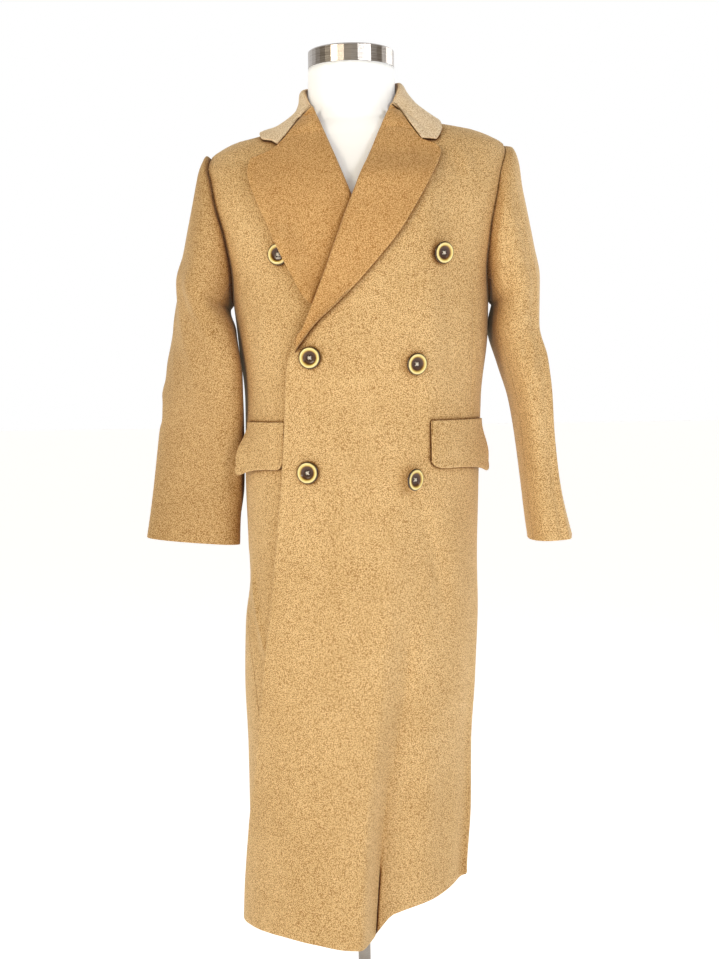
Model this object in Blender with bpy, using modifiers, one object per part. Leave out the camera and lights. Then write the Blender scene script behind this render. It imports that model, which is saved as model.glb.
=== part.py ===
"""A double-breasted wool overcoat on a limbless dress form with a steel neck cap, pole and round foot.

Every piece that a tailor cuts is one object: fronts, backs, two-part sleeves, lapels, collar, pocket flaps and
buttons. The cloth is a thin wall on one worked-out body surface, and what lies on a panel is that surface moved out.
Units are metres. +Z is up, the coat faces -Y, and the origin is under the middle of the foot, on the floor.
Left and right are the viewer's: +X is the viewer's right, which is the wearer's left.
"""

import math
from bisect import bisect_right
from collections import namedtuple

import bpy
from mathutils import Vector

# ---------------------------------------------------------------- driving sizes
CLOTH = 0.0026  # wool coating with its facing
FOLDED = 0.0032  # two layers of cloth, as in a lapel, collar or flap
SEAM_GAP = 0.0004  # between two pieces that are sewn together
LAYER_GAP = 0.0022  # between two layers that lie on each other

HEM_Z = 0.242  # the coat's lowest point above the floor
BREAK_Z = 1.084  # where the lapels start to turn back
UNDERARM_Z = 1.135
SHOULDER_TIP_Z = 1.3565
NECKLINE_Z = 1.402
SHOULDER_LEAN = {1: 0.020, -1: 0.044}  # each shoulder's rise to the viewer's right, as a share of the width
SHOULDER_DIP = {1: 0.0, -1: 0.0045}  # how far each shoulder dips between the neck and its tip
SHOULDER_REACH = 0.22  # from the middle to the end of that dip

NECK_R = 0.062  # the form's neck cap
CAP_Z = 1.4745
CAP_H = 0.025
POLE_R = 0.009
FOOT_R = 0.165
FOOT_H = 0.008

BUTTON_R = 0.01525  # a 48 line overcoat button
SHANK_R = 0.0026

# The coat's outer surface as level sections: a superellipse with its own depth in front of and behind x = centre.
Section = namedtuple("Section", "z half_width front back power centre")
COAT = [
    Section(0.230, 0.159, 0.134, 0.198, 2.20, -0.0090),
    Section(0.310, 0.159, 0.135, 0.192, 2.20, -0.0075),
    Section(0.410, 0.161, 0.136, 0.184, 2.20, -0.0025),
    Section(0.500, 0.162, 0.138, 0.177, 2.25, -0.0020),
    Section(0.600, 0.167, 0.141, 0.169, 2.30, 0.0000),
    Section(0.685, 0.168, 0.143, 0.161, 2.35, 0.0035),
    Section(0.765, 0.165, 0.144, 0.154, 2.40, 0.0065),
    Section(0.880, 0.168, 0.145, 0.143, 2.40, 0.0070),
    Section(1.000, 0.170, 0.143, 0.124, 2.40, 0.0100),
    Section(1.080, 0.179, 0.142, 0.124, 2.45, 0.0110),
    Section(1.165, 0.186, 0.140, 0.129, 2.50, 0.0080),
    Section(1.230, 0.202, 0.134, 0.131, 2.60, 0.0060),
    Section(1.290, 0.219, 0.119, 0.125, 2.60, 0.0045),
    Section(1.330, 0.2215, 0.101, 0.113, 2.55, 0.0050),
    Section(1.3565, 0.2100, 0.085, 0.099, 2.50, 0.0075),
    Section(1.3665, 0.1955, 0.078, 0.092, 2.50, 0.0065),
    Section(1.3770, 0.1735, 0.071, 0.085, 2.45, 0.0045),
    Section(1.3835, 0.146, 0.070, 0.0815, 2.40, 0.0030),
    Section(1.3890, 0.121, 0.0685, 0.078, 2.35, 0.0010),
    Section(1.4020, 0.080, 0.0665, 0.0720, 2.20, 0.0000),
]

# The dress form inside it, with the same columns. Its shoulders carry the coat.
FORM = [
    Section(0.700, 0.128, 0.098, 0.104, 2.20, 0.003),
    Section(0.760, 0.146, 0.116, 0.121, 2.20, 0.004),
    Section(0.880, 0.153, 0.128, 0.125, 2.20, 0.006),
    Section(1.000, 0.134, 0.108, 0.098, 2.20, 0.008),
    Section(1.100, 0.150, 0.120, 0.106, 2.30, 0.008),
    Section(1.165, 0.161, 0.124, 0.113, 2.35, 0.007),
    Section(1.230, 0.176, 0.120, 0.114, 2.40, 0.005),
    Section(1.290, 0.188, 0.104, 0.108, 2.40, 0.004),
    Section(1.330, 0.194, 0.086, 0.098, 2.40, 0.003),
    Section(1.3515, 0.192, 0.075, 0.089, 2.40, 0.003),
    Section(1.3625, 0.186, 0.071, 0.084, 2.40, 0.003),
    Section(1.3725, 0.168, 0.066, 0.079, 2.35, 0.002),
    Section(1.3795, 0.142, 0.063, 0.075, 2.30, 0.002),
    Section(1.3850, 0.117, 0.062, 0.071, 2.25, 0.001),
    Section(1.3960, 0.074, 0.0550, 0.0655, 2.05, 0.000),
    Section(1.4120, 0.0650, 0.0545, 0.0630, 2.00, 0.000),
    Section(1.4400, 0.0630, 0.0585, 0.0625, 2.00, 0.000),
    Section(CAP_Z - 0.0005, NECK_R, NECK_R, NECK_R, 2.00, 0.000),
]

# The deep fold in the skirt: to the right of it the front stands further back by `depth`, over twice `half_width`.
Fold = namedtuple("Fold", "z x half_width depth")
SKIRT_FOLD = [
    Fold(0.230, 0.008, 0.011, 0.050),
    Fold(0.400, 0.021, 0.014, 0.040),
    Fold(0.600, 0.049, 0.020, 0.024),
    Fold(0.750, 0.064, 0.024, 0.012),
    Fold(0.900, 0.072, 0.028, 0.000),
]

# How far the hem rises above HEM_Z at each turn round the coat.
Hem = namedtuple("Hem", "turn rise")
HEM = [
    Hem(-180, 0.032),
    Hem(-90, 0.010),
    Hem(-60, 0.012),
    Hem(-40, 0.012),
    Hem(-20, 0.007),
    Hem(-5, 0.001),
    Hem(4, 0.000),
    Hem(16, 0.032),
    Hem(45, 0.048),
    Hem(75, 0.062),
    Hem(100, 0.066),
    Hem(180, 0.032),
]
HEM_RISE_ENDS_Z = 0.60

# The front edges, below the lapels, as x at each height.
Edge = namedtuple("Edge", "z x")
OVERLAP_EDGE = [
    Edge(0.230, -0.1660),
    Edge(0.290, -0.1630),
    Edge(0.373, -0.1560),
    Edge(0.504, -0.1410),
    Edge(0.604, -0.1310),
    Edge(0.743, -0.1170),
    Edge(0.8427, -0.1071),
    Edge(0.8902, -0.1023),
    Edge(0.9445, -0.0988),
    Edge(0.9988, -0.0958),
    Edge(1.0395, -0.0915),
    Edge(1.0666, -0.0860),
    Edge(BREAK_Z, -0.0805),
]
UNDERLAP_EDGE = [Edge(0.230, 0.074), Edge(0.700, 0.076), Edge(BREAK_Z, 0.066)]

# Where the side seams run, as a turn in degrees from the middle of the front.
Seam = namedtuple("Seam", "z turn")
LEFT_SIDE_SEAM = [Seam(0.230, -50), Seam(0.420, -52), Seam(0.600, -60), Seam(0.730, -84), Seam(0.800, -90)]
RIGHT_SIDE_SEAM = [Seam(0.230, 85), Seam(0.330, 84), Seam(0.420, 82), Seam(0.520, 86), Seam(0.650, 90)]

# Lapels: the roll line is straight from the neck to the break, and the edge runs from the break up to the corner.
Point = namedtuple("Point", "x z")
ROLL_TOP_X = {1: 0.0555, -1: -0.0540}
RIGHT_LAPEL_EDGE = [
    Point(-0.0700, 1.0800),
    Point(-0.0210, 1.1310),
    Point(0.0200, 1.1740),
    Point(0.0624, 1.2250),
    Point(0.0965, 1.2800),
    Point(0.1170, 1.3190),
    Point(0.1218, 1.3350),
    Point(0.1165, 1.3450),
]
LEFT_LAPEL_EDGE = [
    Point(0.0720, 1.0800),
    Point(-0.0100, 1.1040),
    Point(-0.0660, 1.1390),
    Point(-0.0870, 1.1830),
    Point(-0.1080, 1.2300),
    Point(-0.1275, 1.2740),
    Point(-0.1432, 1.3200),
    Point(-0.1400, 1.3395),
]
# The gorge seam, between collar and lapel, from the notch up to the roll line.
RIGHT_GORGE = [
    Point(0.0965, 1.3547),
    Point(0.0893, 1.3658),
    Point(0.0822, 1.3770),
    Point(0.0750, 1.3880),
    Point(0.0672, 1.3985),
    Point(0.0581, 1.4080),
]
LEFT_GORGE = [
    Point(-0.1035, 1.3609),
    Point(-0.0952, 1.3720),
    Point(-0.0866, 1.3822),
    Point(-0.0775, 1.3922),
    Point(-0.0690, 1.4032),
    Point(-0.0582, 1.4130),
]

# Levels of the rows of points in the fronts and backs. The seams meet point to point because both sides share them.
SKIRT_LEVELS = [HEM_Z, 0.300, 0.370, 0.450, 0.530, 0.610, 0.700, 0.790, 0.880, 0.960, 1.030]
CHEST_LEVELS = [BREAK_Z]
ARMHOLE_LEVELS = [UNDERARM_Z, 1.1420, 1.1640, 1.1970, 1.2350, 1.2720, 1.3050, 1.3320, 1.3500, SHOULDER_TIP_Z]
SHOULDER_LEVELS = [1.3650, 1.3740, 1.3820, 1.3890, 1.3955, NECKLINE_Z]
ALL_LEVELS = SKIRT_LEVELS + CHEST_LEVELS + ARMHOLE_LEVELS + SHOULDER_LEVELS

ARMHOLE_FRONT = 0.072  # the armhole's half depth in front of the shoulder seam
ARMHOLE_BACK = 0.082

# The sleeve caps: sections that swing out about the underarm, each with its slant from upright and its height.
Cap = namedtuple("Cap", "slant span half_depth")
RIGHT_CAP = [
    Cap(8.7, 0.2250, 0.077),
    Cap(10.0, 0.2205, 0.080),
    Cap(11.2, 0.2130, 0.082),
    Cap(12.6, 0.2020, 0.083),
    Cap(15.5, 0.1765, 0.085),
    Cap(22.7, 0.1410, 0.087),
    Cap(37.6, 0.1030, 0.088),
    Cap(61.3, 0.0785, 0.088),
]
LEFT_CAP = [
    Cap(8.9, 0.2190, 0.077),
    Cap(10.5, 0.2125, 0.080),
    Cap(12.2, 0.2030, 0.082),
    Cap(14.2, 0.1890, 0.083),
    Cap(17.1, 0.1710, 0.084),
    Cap(27.3, 0.1300, 0.086),
    Cap(40.5, 0.1020, 0.087),
    Cap(63.6, 0.0840, 0.087),
]
# The arm of each sleeve: x, y and z of each section's middle, its slant, half sizes, twist about the arm, and crease.
Arm = namedtuple("Arm", "x y z slant half_out half_depth twist ridge")
RIGHT_ARM = [
    Arm(0.2285, 0.000, 1.1000, 86, 0.0370, 0.0870, 0, 0.003),
    Arm(0.2402, -0.003, 1.0500, 84, 0.0352, 0.0845, 0, 0.005),
    Arm(0.2495, -0.007, 1.0000, 84, 0.0300, 0.0815, 1, 0.006),
    Arm(0.2540, -0.011, 0.9550, 84, 0.0275, 0.0785, 2, 0.006),
    Arm(0.2615, -0.018, 0.8850, 85, 0.0275, 0.0740, 4, 0.006),
    Arm(0.2685, -0.024, 0.8350, 86, 0.0298, 0.0705, 5, 0.006),
    Arm(0.2750, -0.028, 0.7980, 87, 0.0320, 0.0675, 6, 0.006),
]
LEFT_ARM = [
    Arm(-0.2175, -0.004, 1.1000, 86, 0.0420, 0.0850, 20, 0.002),
    Arm(-0.2195, -0.009, 1.0400, 86, 0.0380, 0.0840, 38, 0.003),
    Arm(-0.2225, -0.004, 0.9900, 86, 0.0345, 0.0825, 45, 0.003),
    Arm(-0.2270, 0.008, 0.9400, 86, 0.0325, 0.0795, 53, 0.003),
    Arm(-0.2315, 0.014, 0.8800, 86, 0.0310, 0.0762, 62, 0.003),
    Arm(-0.2370, 0.010, 0.8350, 86, 0.0300, 0.0725, 68, 0.002),
    Arm(-0.2405, 0.006, 0.7950, 86, 0.0285, 0.0710, 77, 0.002),
]
FRONT_SEAM_ANGLE = 127  # where the sleeve's two seams run, from straight outwards
BACK_SEAM_ANGLE = 102

# Pocket flaps, on each side: from the front end to the rear end as a turn, and their heights.
FLAP_TOP_Z = 0.9695
FLAP_H = 0.0660
FLAP_REAR_DROP = 0.0120
FLAP_FLARE = {1: 0.0095, -1: 0.0150}
FLAP_REAR = {1: (77, 83), -1: (-69, -71)}  # the turn of its rear end, at the top and at the bottom
RIGHT_FLAP_X = 0.0990  # the other flap starts at the overlap

Button = namedtuple("Button", "name x z face_turn face_tip on_overlap")
BUTTONS = [
    Button("button_upper_left", -0.1020, 1.2030, 0, 0, False),
    Button("button_upper_right", 0.1170, 1.1972, 12, 8, True),
    Button("button_middle_left", -0.0586, 1.0570, 0, 0, True),
    Button("button_middle_right", 0.0778, 1.0474, 14, 6, True),
    Button("button_lower_left", -0.0648, 0.9008, 0, 0, True),
    Button("button_lower_right", 0.0692, 0.8912, 31, 3, True),
]


# ---------------------------------------------------------------- reading the tables
def read(table, key, value, at):
    """One column of a table at `at`: a smooth curve through the rows that never passes beyond them."""
    keys = [getattr(row, key) for row in table]
    values = [getattr(row, value) for row in table]
    if at <= keys[0]:
        return values[0]
    if at >= keys[-1]:
        return values[-1]
    i = bisect_right(keys, at) - 1
    rates = [(b - a) / (q - p) for a, b, p, q in zip(values, values[1:], keys, keys[1:])]

    def rate_at(k):
        if k == 0 or k == len(rates):
            return rates[min(k, len(rates) - 1)]
        before, after = rates[k - 1], rates[k]
        return 0.0 if before * after <= 0 else 2 * before * after / (before + after)

    step = keys[i + 1] - keys[i]
    t = (at - keys[i]) / step
    return (
        values[i] * (1 + 2 * t) * (1 - t) ** 2
        + rate_at(i) * step * t * (1 - t) ** 2
        + values[i + 1] * t * t * (3 - 2 * t)
        - rate_at(i + 1) * step * t * t * (1 - t)
    )


def ease(t):
    """0 to 1 with soft ends."""
    t = min(1.0, max(0.0, t))
    return t * t * (3 - 2 * t)


def mix(a, b, t):
    return a + (b - a) * t


def signed_power(value, power):
    return math.copysign(abs(value) ** power, value)


# ---------------------------------------------------------------- the coat's surface
def lean(x, z):
    """How far the uneven shoulders lift a point."""
    side = 1 if x > 0 else -1
    across = min(1.0, abs(x) / SHOULDER_REACH)
    dip = SHOULDER_DIP[side] * 16 * (across * (1 - across)) ** 2
    return (SHOULDER_LEAN[side] * x - dip) * ease((z - 1.10) / 0.22)


def section_at(table, z):
    return Section(z, *[read(table, "z", name, z) for name in Section._fields[1:]])


def fold_offset(x, z):
    """How far back the deep fold sets the front of the skirt at x."""
    half_width = read(SKIRT_FOLD, "z", "half_width", z)
    across = (x - read(SKIRT_FOLD, "z", "x", z)) / (2 * half_width) + 0.5
    return read(SKIRT_FOLD, "z", "depth", z) * ease(across)


def body_point(table, turn, z):
    """The point of a body surface at a turn in degrees from the middle of the front, positive towards +X."""
    section = section_at(table, z)
    sine, cosine = math.sin(math.radians(turn)), math.cos(math.radians(turn))
    x = section.centre + section.half_width * signed_power(sine, 2 / section.power)
    depth = section.front if cosine > 0 else section.back
    y = -depth * signed_power(cosine, 2 / section.power)
    if table is COAT and cosine > 0:
        y += fold_offset(x, z) * ease(cosine / 0.45)
    return Vector((x, y, z + lean(x, z)))


def turn_at_x(x, z):
    """The turn at which the coat's front reaches x."""
    section = section_at(COAT, z)
    share = max(-1.0, min(1.0, (x - section.centre) / section.half_width))
    return math.degrees(math.asin(signed_power(share, section.power / 2)))


def turn_at_depth(y, z, side):
    """The turn at which the coat's surface reaches the depth y on that side, 1 or -1."""
    section = section_at(COAT, z)
    depth = section.front if y < 0 else section.back
    turn = math.degrees(math.acos(min(1.0, abs(y) / depth) ** (section.power / 2)))
    return side * (turn if y < 0 else 180 - turn)


def normal_of(surface, u, v, du, dv):
    along_u = surface(u + du, v) - surface(u - du, v)
    along_v = surface(u, v + dv) - surface(u, v - dv)
    return along_u.cross(along_v).normalized()


def coat_point(turn, z, out=0.0):
    """A point of the coat's surface, moved `out` along its normal."""
    point = body_point(COAT, turn, z)
    if out == 0:
        return point
    return point + out * normal_of(lambda u, v: body_point(COAT, u, v), turn, z, 0.5, 0.002)


def hem_level(turn, level):
    """A row's level, lifted near the hem as the hem rises."""
    wrapped = (turn + 180) % 360 - 180
    share = 1 - ease((level - HEM_Z) / (HEM_RISE_ENDS_Z - HEM_Z))
    return level + read(HEM, "turn", "rise", wrapped) * share


# ---------------------------------------------------------------- building solids
def material(name, colour, roughness, metallic=0.0):
    made = bpy.data.materials.new(name)
    made.use_nodes = True
    shader = made.node_tree.nodes["Principled BSDF"]
    shader.inputs["Base Color"].default_value = (*colour, 1.0)
    shader.inputs["Roughness"].default_value = roughness
    shader.inputs["Metallic"].default_value = metallic
    return made


def add_object(name, mesh, finish, angle=40):
    made = bpy.data.objects.new(name, mesh)
    coat_collection.objects.link(made)
    mesh.materials.append(finish)
    mesh.shade_smooth()
    mesh.set_sharp_from_angle(angle=math.radians(angle))
    return made


def wall(name, outer, inner, finish):
    """A closed thin wall between two grids of points, each a list of rows. Rows run up and columns towards +turn."""
    rows, columns = len(outer), len(outer[0])
    points = [p for grid in (outer, inner) for row in grid for p in row]
    layer = rows * columns

    def at(side, row, column):
        return side * layer + row * columns + column

    faces = []
    for r in range(rows - 1):
        for c in range(columns - 1):
            quad = [(r, c), (r, c + 1), (r + 1, c + 1), (r + 1, c)]
            faces.append([at(0, *corner) for corner in quad])
            faces.append([at(1, *corner) for corner in reversed(quad)])
    rim = (
        [(0, c) for c in range(columns - 1)]
        + [(r, columns - 1) for r in range(rows - 1)]
        + [(rows - 1, c) for c in range(columns - 1, 0, -1)]
        + [(r, 0) for r in range(rows - 1, 0, -1)]
    )
    for start, end in zip(rim, rim[1:] + rim[:1]):
        faces.append([at(0, *end), at(0, *start), at(1, *start), at(1, *end)])
    mesh = bpy.data.meshes.new(name)
    mesh.from_pydata(points, [], faces)
    return add_object(name, mesh, finish)


def drawn_in(grid, first, last, gap=0.00025):
    """The grid with its first or last column moved a little towards the next one, which leaves the seam's gap."""
    drawn = []
    for row in grid:
        row = list(row)
        if first:
            row[0] = row[0] + gap * (row[1] - row[0]).normalized()
        if last:
            row[-1] = row[-1] + gap * (row[-2] - row[-1]).normalized()
        drawn.append(row)
    return drawn


def spread(knots, counts):
    """Values from the first knot to the last, with `counts` even steps in each stretch between knots."""
    values = [knots[0]]
    for low, high, count in zip(knots, knots[1:], counts):
        values += [mix(low, high, (k + 1) / count) for k in range(count)]
    return values


def loft(name, rings, finish, angle=40):
    """A closed solid through rings of points, with flat ends."""
    count = len(rings[0])
    points = [p for ring in rings for p in ring]
    faces = []
    for r in range(len(rings) - 1):
        for c in range(count):
            a, b = r * count + c, r * count + (c + 1) % count
            faces.append([a, b, b + count, a + count])
    faces.append(list(reversed(range(count))))
    faces.append([(len(rings) - 1) * count + c for c in range(count)])
    mesh = bpy.data.meshes.new(name)
    mesh.from_pydata(points, [], faces)
    return add_object(name, mesh, finish, angle)


def turned(name, profile, finish, steps, place, angle=35):
    """A solid turned about Z from a profile of (radius, height) that runs down its outer side."""
    mesh = bpy.data.meshes.new(name)
    mesh.from_pydata([(r, 0, h) for r, h in profile], [(k, k + 1) for k in range(len(profile) - 1)], [])
    made = bpy.data.objects.new(name, mesh)
    coat_collection.objects.link(made)
    mesh.materials.append(finish)
    made.location = place
    screw = made.modifiers.new("turn", "SCREW")
    screw.steps = screw.render_steps = steps
    screw.use_merge_vertices = True
    screw.merge_threshold = 0.00002
    screw.use_smooth_shade = True
    return made


# ---------------------------------------------------------------- fronts and backs
def armhole_reach(z):
    """0 at the armhole's foot and top, 1 at its middle height."""
    middle = (UNDERARM_Z + SHOULDER_TIP_Z) / 2
    share = (z - middle) / (SHOULDER_TIP_Z - UNDERARM_Z) * 2
    return math.sqrt(max(0.0, 1 - share * share))


def outer_turn(z, side, seam, front):
    """Where a panel ends at its side: at the side seam, then the armhole, then the shoulder seam."""
    if z < UNDERARM_Z:
        return read(seam, "z", "turn", z) if z < seam[-1].z else 90.0 * side
    if z > SHOULDER_TIP_Z:
        return 90.0 * side
    reach = -ARMHOLE_FRONT if front else ARMHOLE_BACK
    return turn_at_depth(reach * armhole_reach(z), z, side) if armhole_reach(z) > 0 else 90.0 * side


def roll_x(z, side):
    """x of the roll line of the front that belongs to that side."""
    edge = OVERLAP_EDGE if side > 0 else UNDERLAP_EDGE
    return mix(edge[-1].x, ROLL_TOP_X[side], (z - BREAK_Z) / (NECKLINE_Z - BREAK_Z))


def front_edge_turn(z, side):
    edge = OVERLAP_EDGE if side > 0 else UNDERLAP_EDGE
    x = read(edge, "z", "x", z) if z < BREAK_Z else roll_x(z, side)
    return turn_at_x(x, z)


def cover(x, z):
    """How far out the overlapping front lies, over the other front and over that front's lapel."""
    over_front = (CLOTH + LAYER_GAP) * ease((0.150 - x) / 0.060) * ease((1.345 - z) / 0.050)
    beside = ease((x + 0.120) / 0.030) * ease((0.135 - x) / 0.040)
    beneath = ease((z - 0.985) / 0.070) * ease((1.345 - z) / 0.050)
    return over_front + (FOLDED + 0.0032) * beside * beneath


def front_turns(level, side, seam):
    """The columns of a front at a level. Where one front covers the other, both have the same columns."""
    end = outer_turn(level, side, seam, True)
    over, under = front_edge_turn(level, 1), front_edge_turn(level, -1)
    fold_x, reach = read(SKIRT_FOLD, "z", "x", level), read(SKIRT_FOLD, "z", "half_width", level)
    low, high = turn_at_x(fold_x - reach, level), turn_at_x(fold_x + reach, level)
    plain = ease((level - 0.80) / 0.20)
    low = mix(low, mix(over, under, 0.55), plain)
    high = min(mix(high, mix(over, under, 0.85), plain), under - 2)
    low = min(low, high - 4)
    shared = ease((under - over) / 25)
    if side > 0:
        knots, counts = [over, low, high, under, end], [7, 4, 1, 6]
    else:
        knots, counts = [end, max(over, end + 4), low, high, under], [5, 7, 4, 1]
    even = spread([knots[0], knots[-1]], [sum(counts)])
    return [mix(a, b, shared) for a, b in zip(even, spread(knots, counts))]


def front_panel(name, side, seam, finish):
    """A front. The viewer's right one, side 1, laps over the other."""
    outer, inner = [], []
    for level in ALL_LEVELS:
        rows = [[], []]
        for turn in front_turns(level, side, seam):
            z = hem_level(turn, level)
            out = cover(body_point(COAT, turn, z).x, z) if side > 0 else 0.0
            rows[0].append(coat_point(turn, z, out))
            rows[1].append(coat_point(turn, z, out - CLOTH))
        outer.append(rows[0])
        inner.append(rows[1])
    outer = drawn_in(outer, side < 0, side > 0)
    inner = drawn_in(inner, side < 0, side > 0)
    return wall(name, outer, inner, finish)


def back_panel(name, side, seam, finish):
    outer, inner = [], []
    for level in ALL_LEVELS:
        end = outer_turn(level, side, seam, False)
        knots = [end, 180.0] if side > 0 else [-180.0, end]
        rows = [[], []]
        for turn in spread(knots, [11]):
            z = hem_level(turn, level)
            rows[0].append(coat_point(turn, z))
            rows[1].append(coat_point(turn, z, -CLOTH))
        outer.append(rows[0])
        inner.append(rows[1])
    return wall(name, drawn_in(outer, True, True), drawn_in(inner, True, True), finish)


# ---------------------------------------------------------------- sleeves
def sleeve_angles(part):
    """Angles round a sleeve, 0 outwards and 90 forwards, at the armhole's own levels. Part is "top" or "under"."""
    height = SHOULDER_TIP_Z - UNDERARM_Z
    half = [math.degrees(math.acos(2 * (z - UNDERARM_Z) / height - 1)) for z in reversed(ARMHOLE_LEVELS)]
    front = min(range(len(half)), key=lambda k: abs(half[k] - FRONT_SEAM_ANGLE))
    back = min(range(len(half)), key=lambda k: abs(half[k] - BACK_SEAM_ANGLE))
    if part == "top":
        return [-a for a in reversed(half[1 : back + 1])] + half[: front + 1]
    return half[front:] + [360 - a for a in reversed(half[back:-1])]


def sleeve_section(side, slant, middle, half_out, half_depth, twist, ridge, angle):
    """A point of a sleeve's section that has its own middle, slant, half sizes, twist and outer ridge."""
    across = half_out * math.cos(math.radians(angle))
    along = half_depth * math.sin(math.radians(angle))
    near_ridge = math.exp(-(((angle - 48 + 180) % 360 - 180) / 20) ** 2)
    across += ridge * near_ridge
    along += ridge * near_ridge
    turned_by = math.radians(twist)
    across, along = (
        across * math.cos(turned_by) - along * math.sin(turned_by),
        across * math.sin(turned_by) + along * math.cos(turned_by),
    )
    tilt = math.radians(slant)
    return Vector((
        middle[0] + side * across * math.sin(tilt),
        middle[1] - along,
        middle[2] + across * math.cos(tilt),
    ))


def armhole_point(side, angle):
    """A point on the edge of the armhole in the coat's surface."""
    radians = math.radians(angle)
    z = mix(UNDERARM_Z, SHOULDER_TIP_Z, (1 + math.cos(radians)) / 2)
    reach = ARMHOLE_FRONT if math.sin(radians) >= 0 else ARMHOLE_BACK
    y = -reach * math.sin(radians)
    return body_point(COAT, turn_at_depth(y, z, side) if abs(y) > 1e-9 else 90.0 * side, z)


def sleeve_sections(side, caps, arm, angle):
    """The points of a sleeve at that angle, from the armhole down to the cuff."""
    seam = armhole_point(side, angle)
    foot, top = armhole_point(side, 180), armhole_point(side, 0)
    middle = (foot + top) / 2
    points = [seam + (SEAM_GAP + 0.0003) * (middle - seam).normalized()]
    base_slant = math.degrees(math.atan2(side * (top.x - foot.x), top.z - foot.z))
    half_depth = ARMHOLE_FRONT if math.sin(math.radians(angle)) >= 0 else ARMHOLE_BACK
    flat = sleeve_section(side, base_slant, middle, (top - foot).length / 2, half_depth, 0, 0, angle)
    bulge = seam - flat
    last = caps[-1].slant
    for cap in caps:
        swung = (cap.slant - base_slant) / (last + 10 - base_slant)
        root = foot + Vector((side * (0.0015 + 0.0050 * swung), 0, 0.0010 - 0.0060 * swung))
        tilt = math.radians(cap.slant)
        centre = root + cap.span / 2 * Vector((side * math.sin(tilt), 0, math.cos(tilt)))
        point = sleeve_section(side, cap.slant, centre, cap.span / 2, cap.half_depth, 0, 0, angle)
        points.append(point + bulge * (1 - swung) ** 2)
    for row in arm:
        centre = Vector((row.x, row.y, row.z + lean(row.x, row.z)))
        points.append(
            sleeve_section(side, row.slant, centre, row.half_out, row.half_depth, row.twist, row.ridge, angle)
        )
    return points


def along_curve(points, t):
    """A smooth curve through points, with t counted in points, that never overshoots them in any direction."""
    last = len(points) - 1
    i = min(int(t), last - 1)
    t -= i
    steps = [points[k + 1] - points[k] for k in range(last)]

    def rate(k):
        if k == 0 or k == last:
            return steps[min(k, last - 1)]
        pairs = zip(steps[k - 1], steps[k])
        return Vector([0.0 if a * b <= 0 else 2 * a * b / (a + b) for a, b in pairs])

    return (
        points[i] * (1 + 2 * t) * (1 - t) ** 2
        + rate(i) * t * (1 - t) ** 2
        + points[i + 1] * t * t * (3 - 2 * t)
        - rate(i + 1) * t * t * (1 - t)
    )


def sleeve_part(name, side, caps, arm, part, finish):
    """Half of a two-part sleeve, from the armhole to the cuff, as a wall that grows inwards."""
    angles = sleeve_angles(part)
    last = len(caps) + len(arm)
    steps = [0, 0.5] + list(range(1, last + 1))
    curves = {}

    def surface(angle, t):
        if angle not in curves:
            curves[angle] = sleeve_sections(side, caps, arm, angle)
        return along_curve(curves[angle], min(max(t, 0.0), float(last)))

    outer, inner = [], []
    for t in reversed(steps):
        rows = [[], []]
        for angle in angles:
            point = surface(angle, t)
            normal = side * normal_of(surface, angle, t, 1.0, 0.05)
            rows[0].append(point)
            rows[1].append(point - CLOTH * normal)
        outer.append(rows[0] if side < 0 else rows[0][::-1])
        inner.append(rows[1] if side < 0 else rows[1][::-1])
    return wall(name, drawn_in(outer, True, True, 0.0004), drawn_in(inner, True, True, 0.0004), finish)


# ---------------------------------------------------------------- lapels and collar
def front_point(x, z, out):
    return coat_point(turn_at_x(x, z), z, out)


def gorge_spot(table, share):
    """The spot (x, z) on the gorge seam at that share of its way from the roll line to the notch."""
    return along_curve([Vector(point) for point in table], (1 - share) * (len(table) - 1))


def lapel_row(v, side, edge_table, top):
    """The two ends of a lapel's row: on the roll line and on the outer edge, as (x, z), for v from 0 to 1."""
    z = mix(BREAK_Z - 0.004, top, v)
    roll = Vector((roll_x(z, side), z))
    curve = [Vector(p) for p in edge_table]
    edge = along_curve(curve, v * (len(curve) - 1))
    return roll, edge


# How a lapel wraps the roll line: distance past the line, and height of its outer skin over the panel.
Wrap = namedtuple("Wrap", "past out")
ROLL_WRAP = [Wrap(0.0042, -0.0022), Wrap(0.0058, 0.0010), Wrap(0.0040, 0.0050)]


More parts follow.
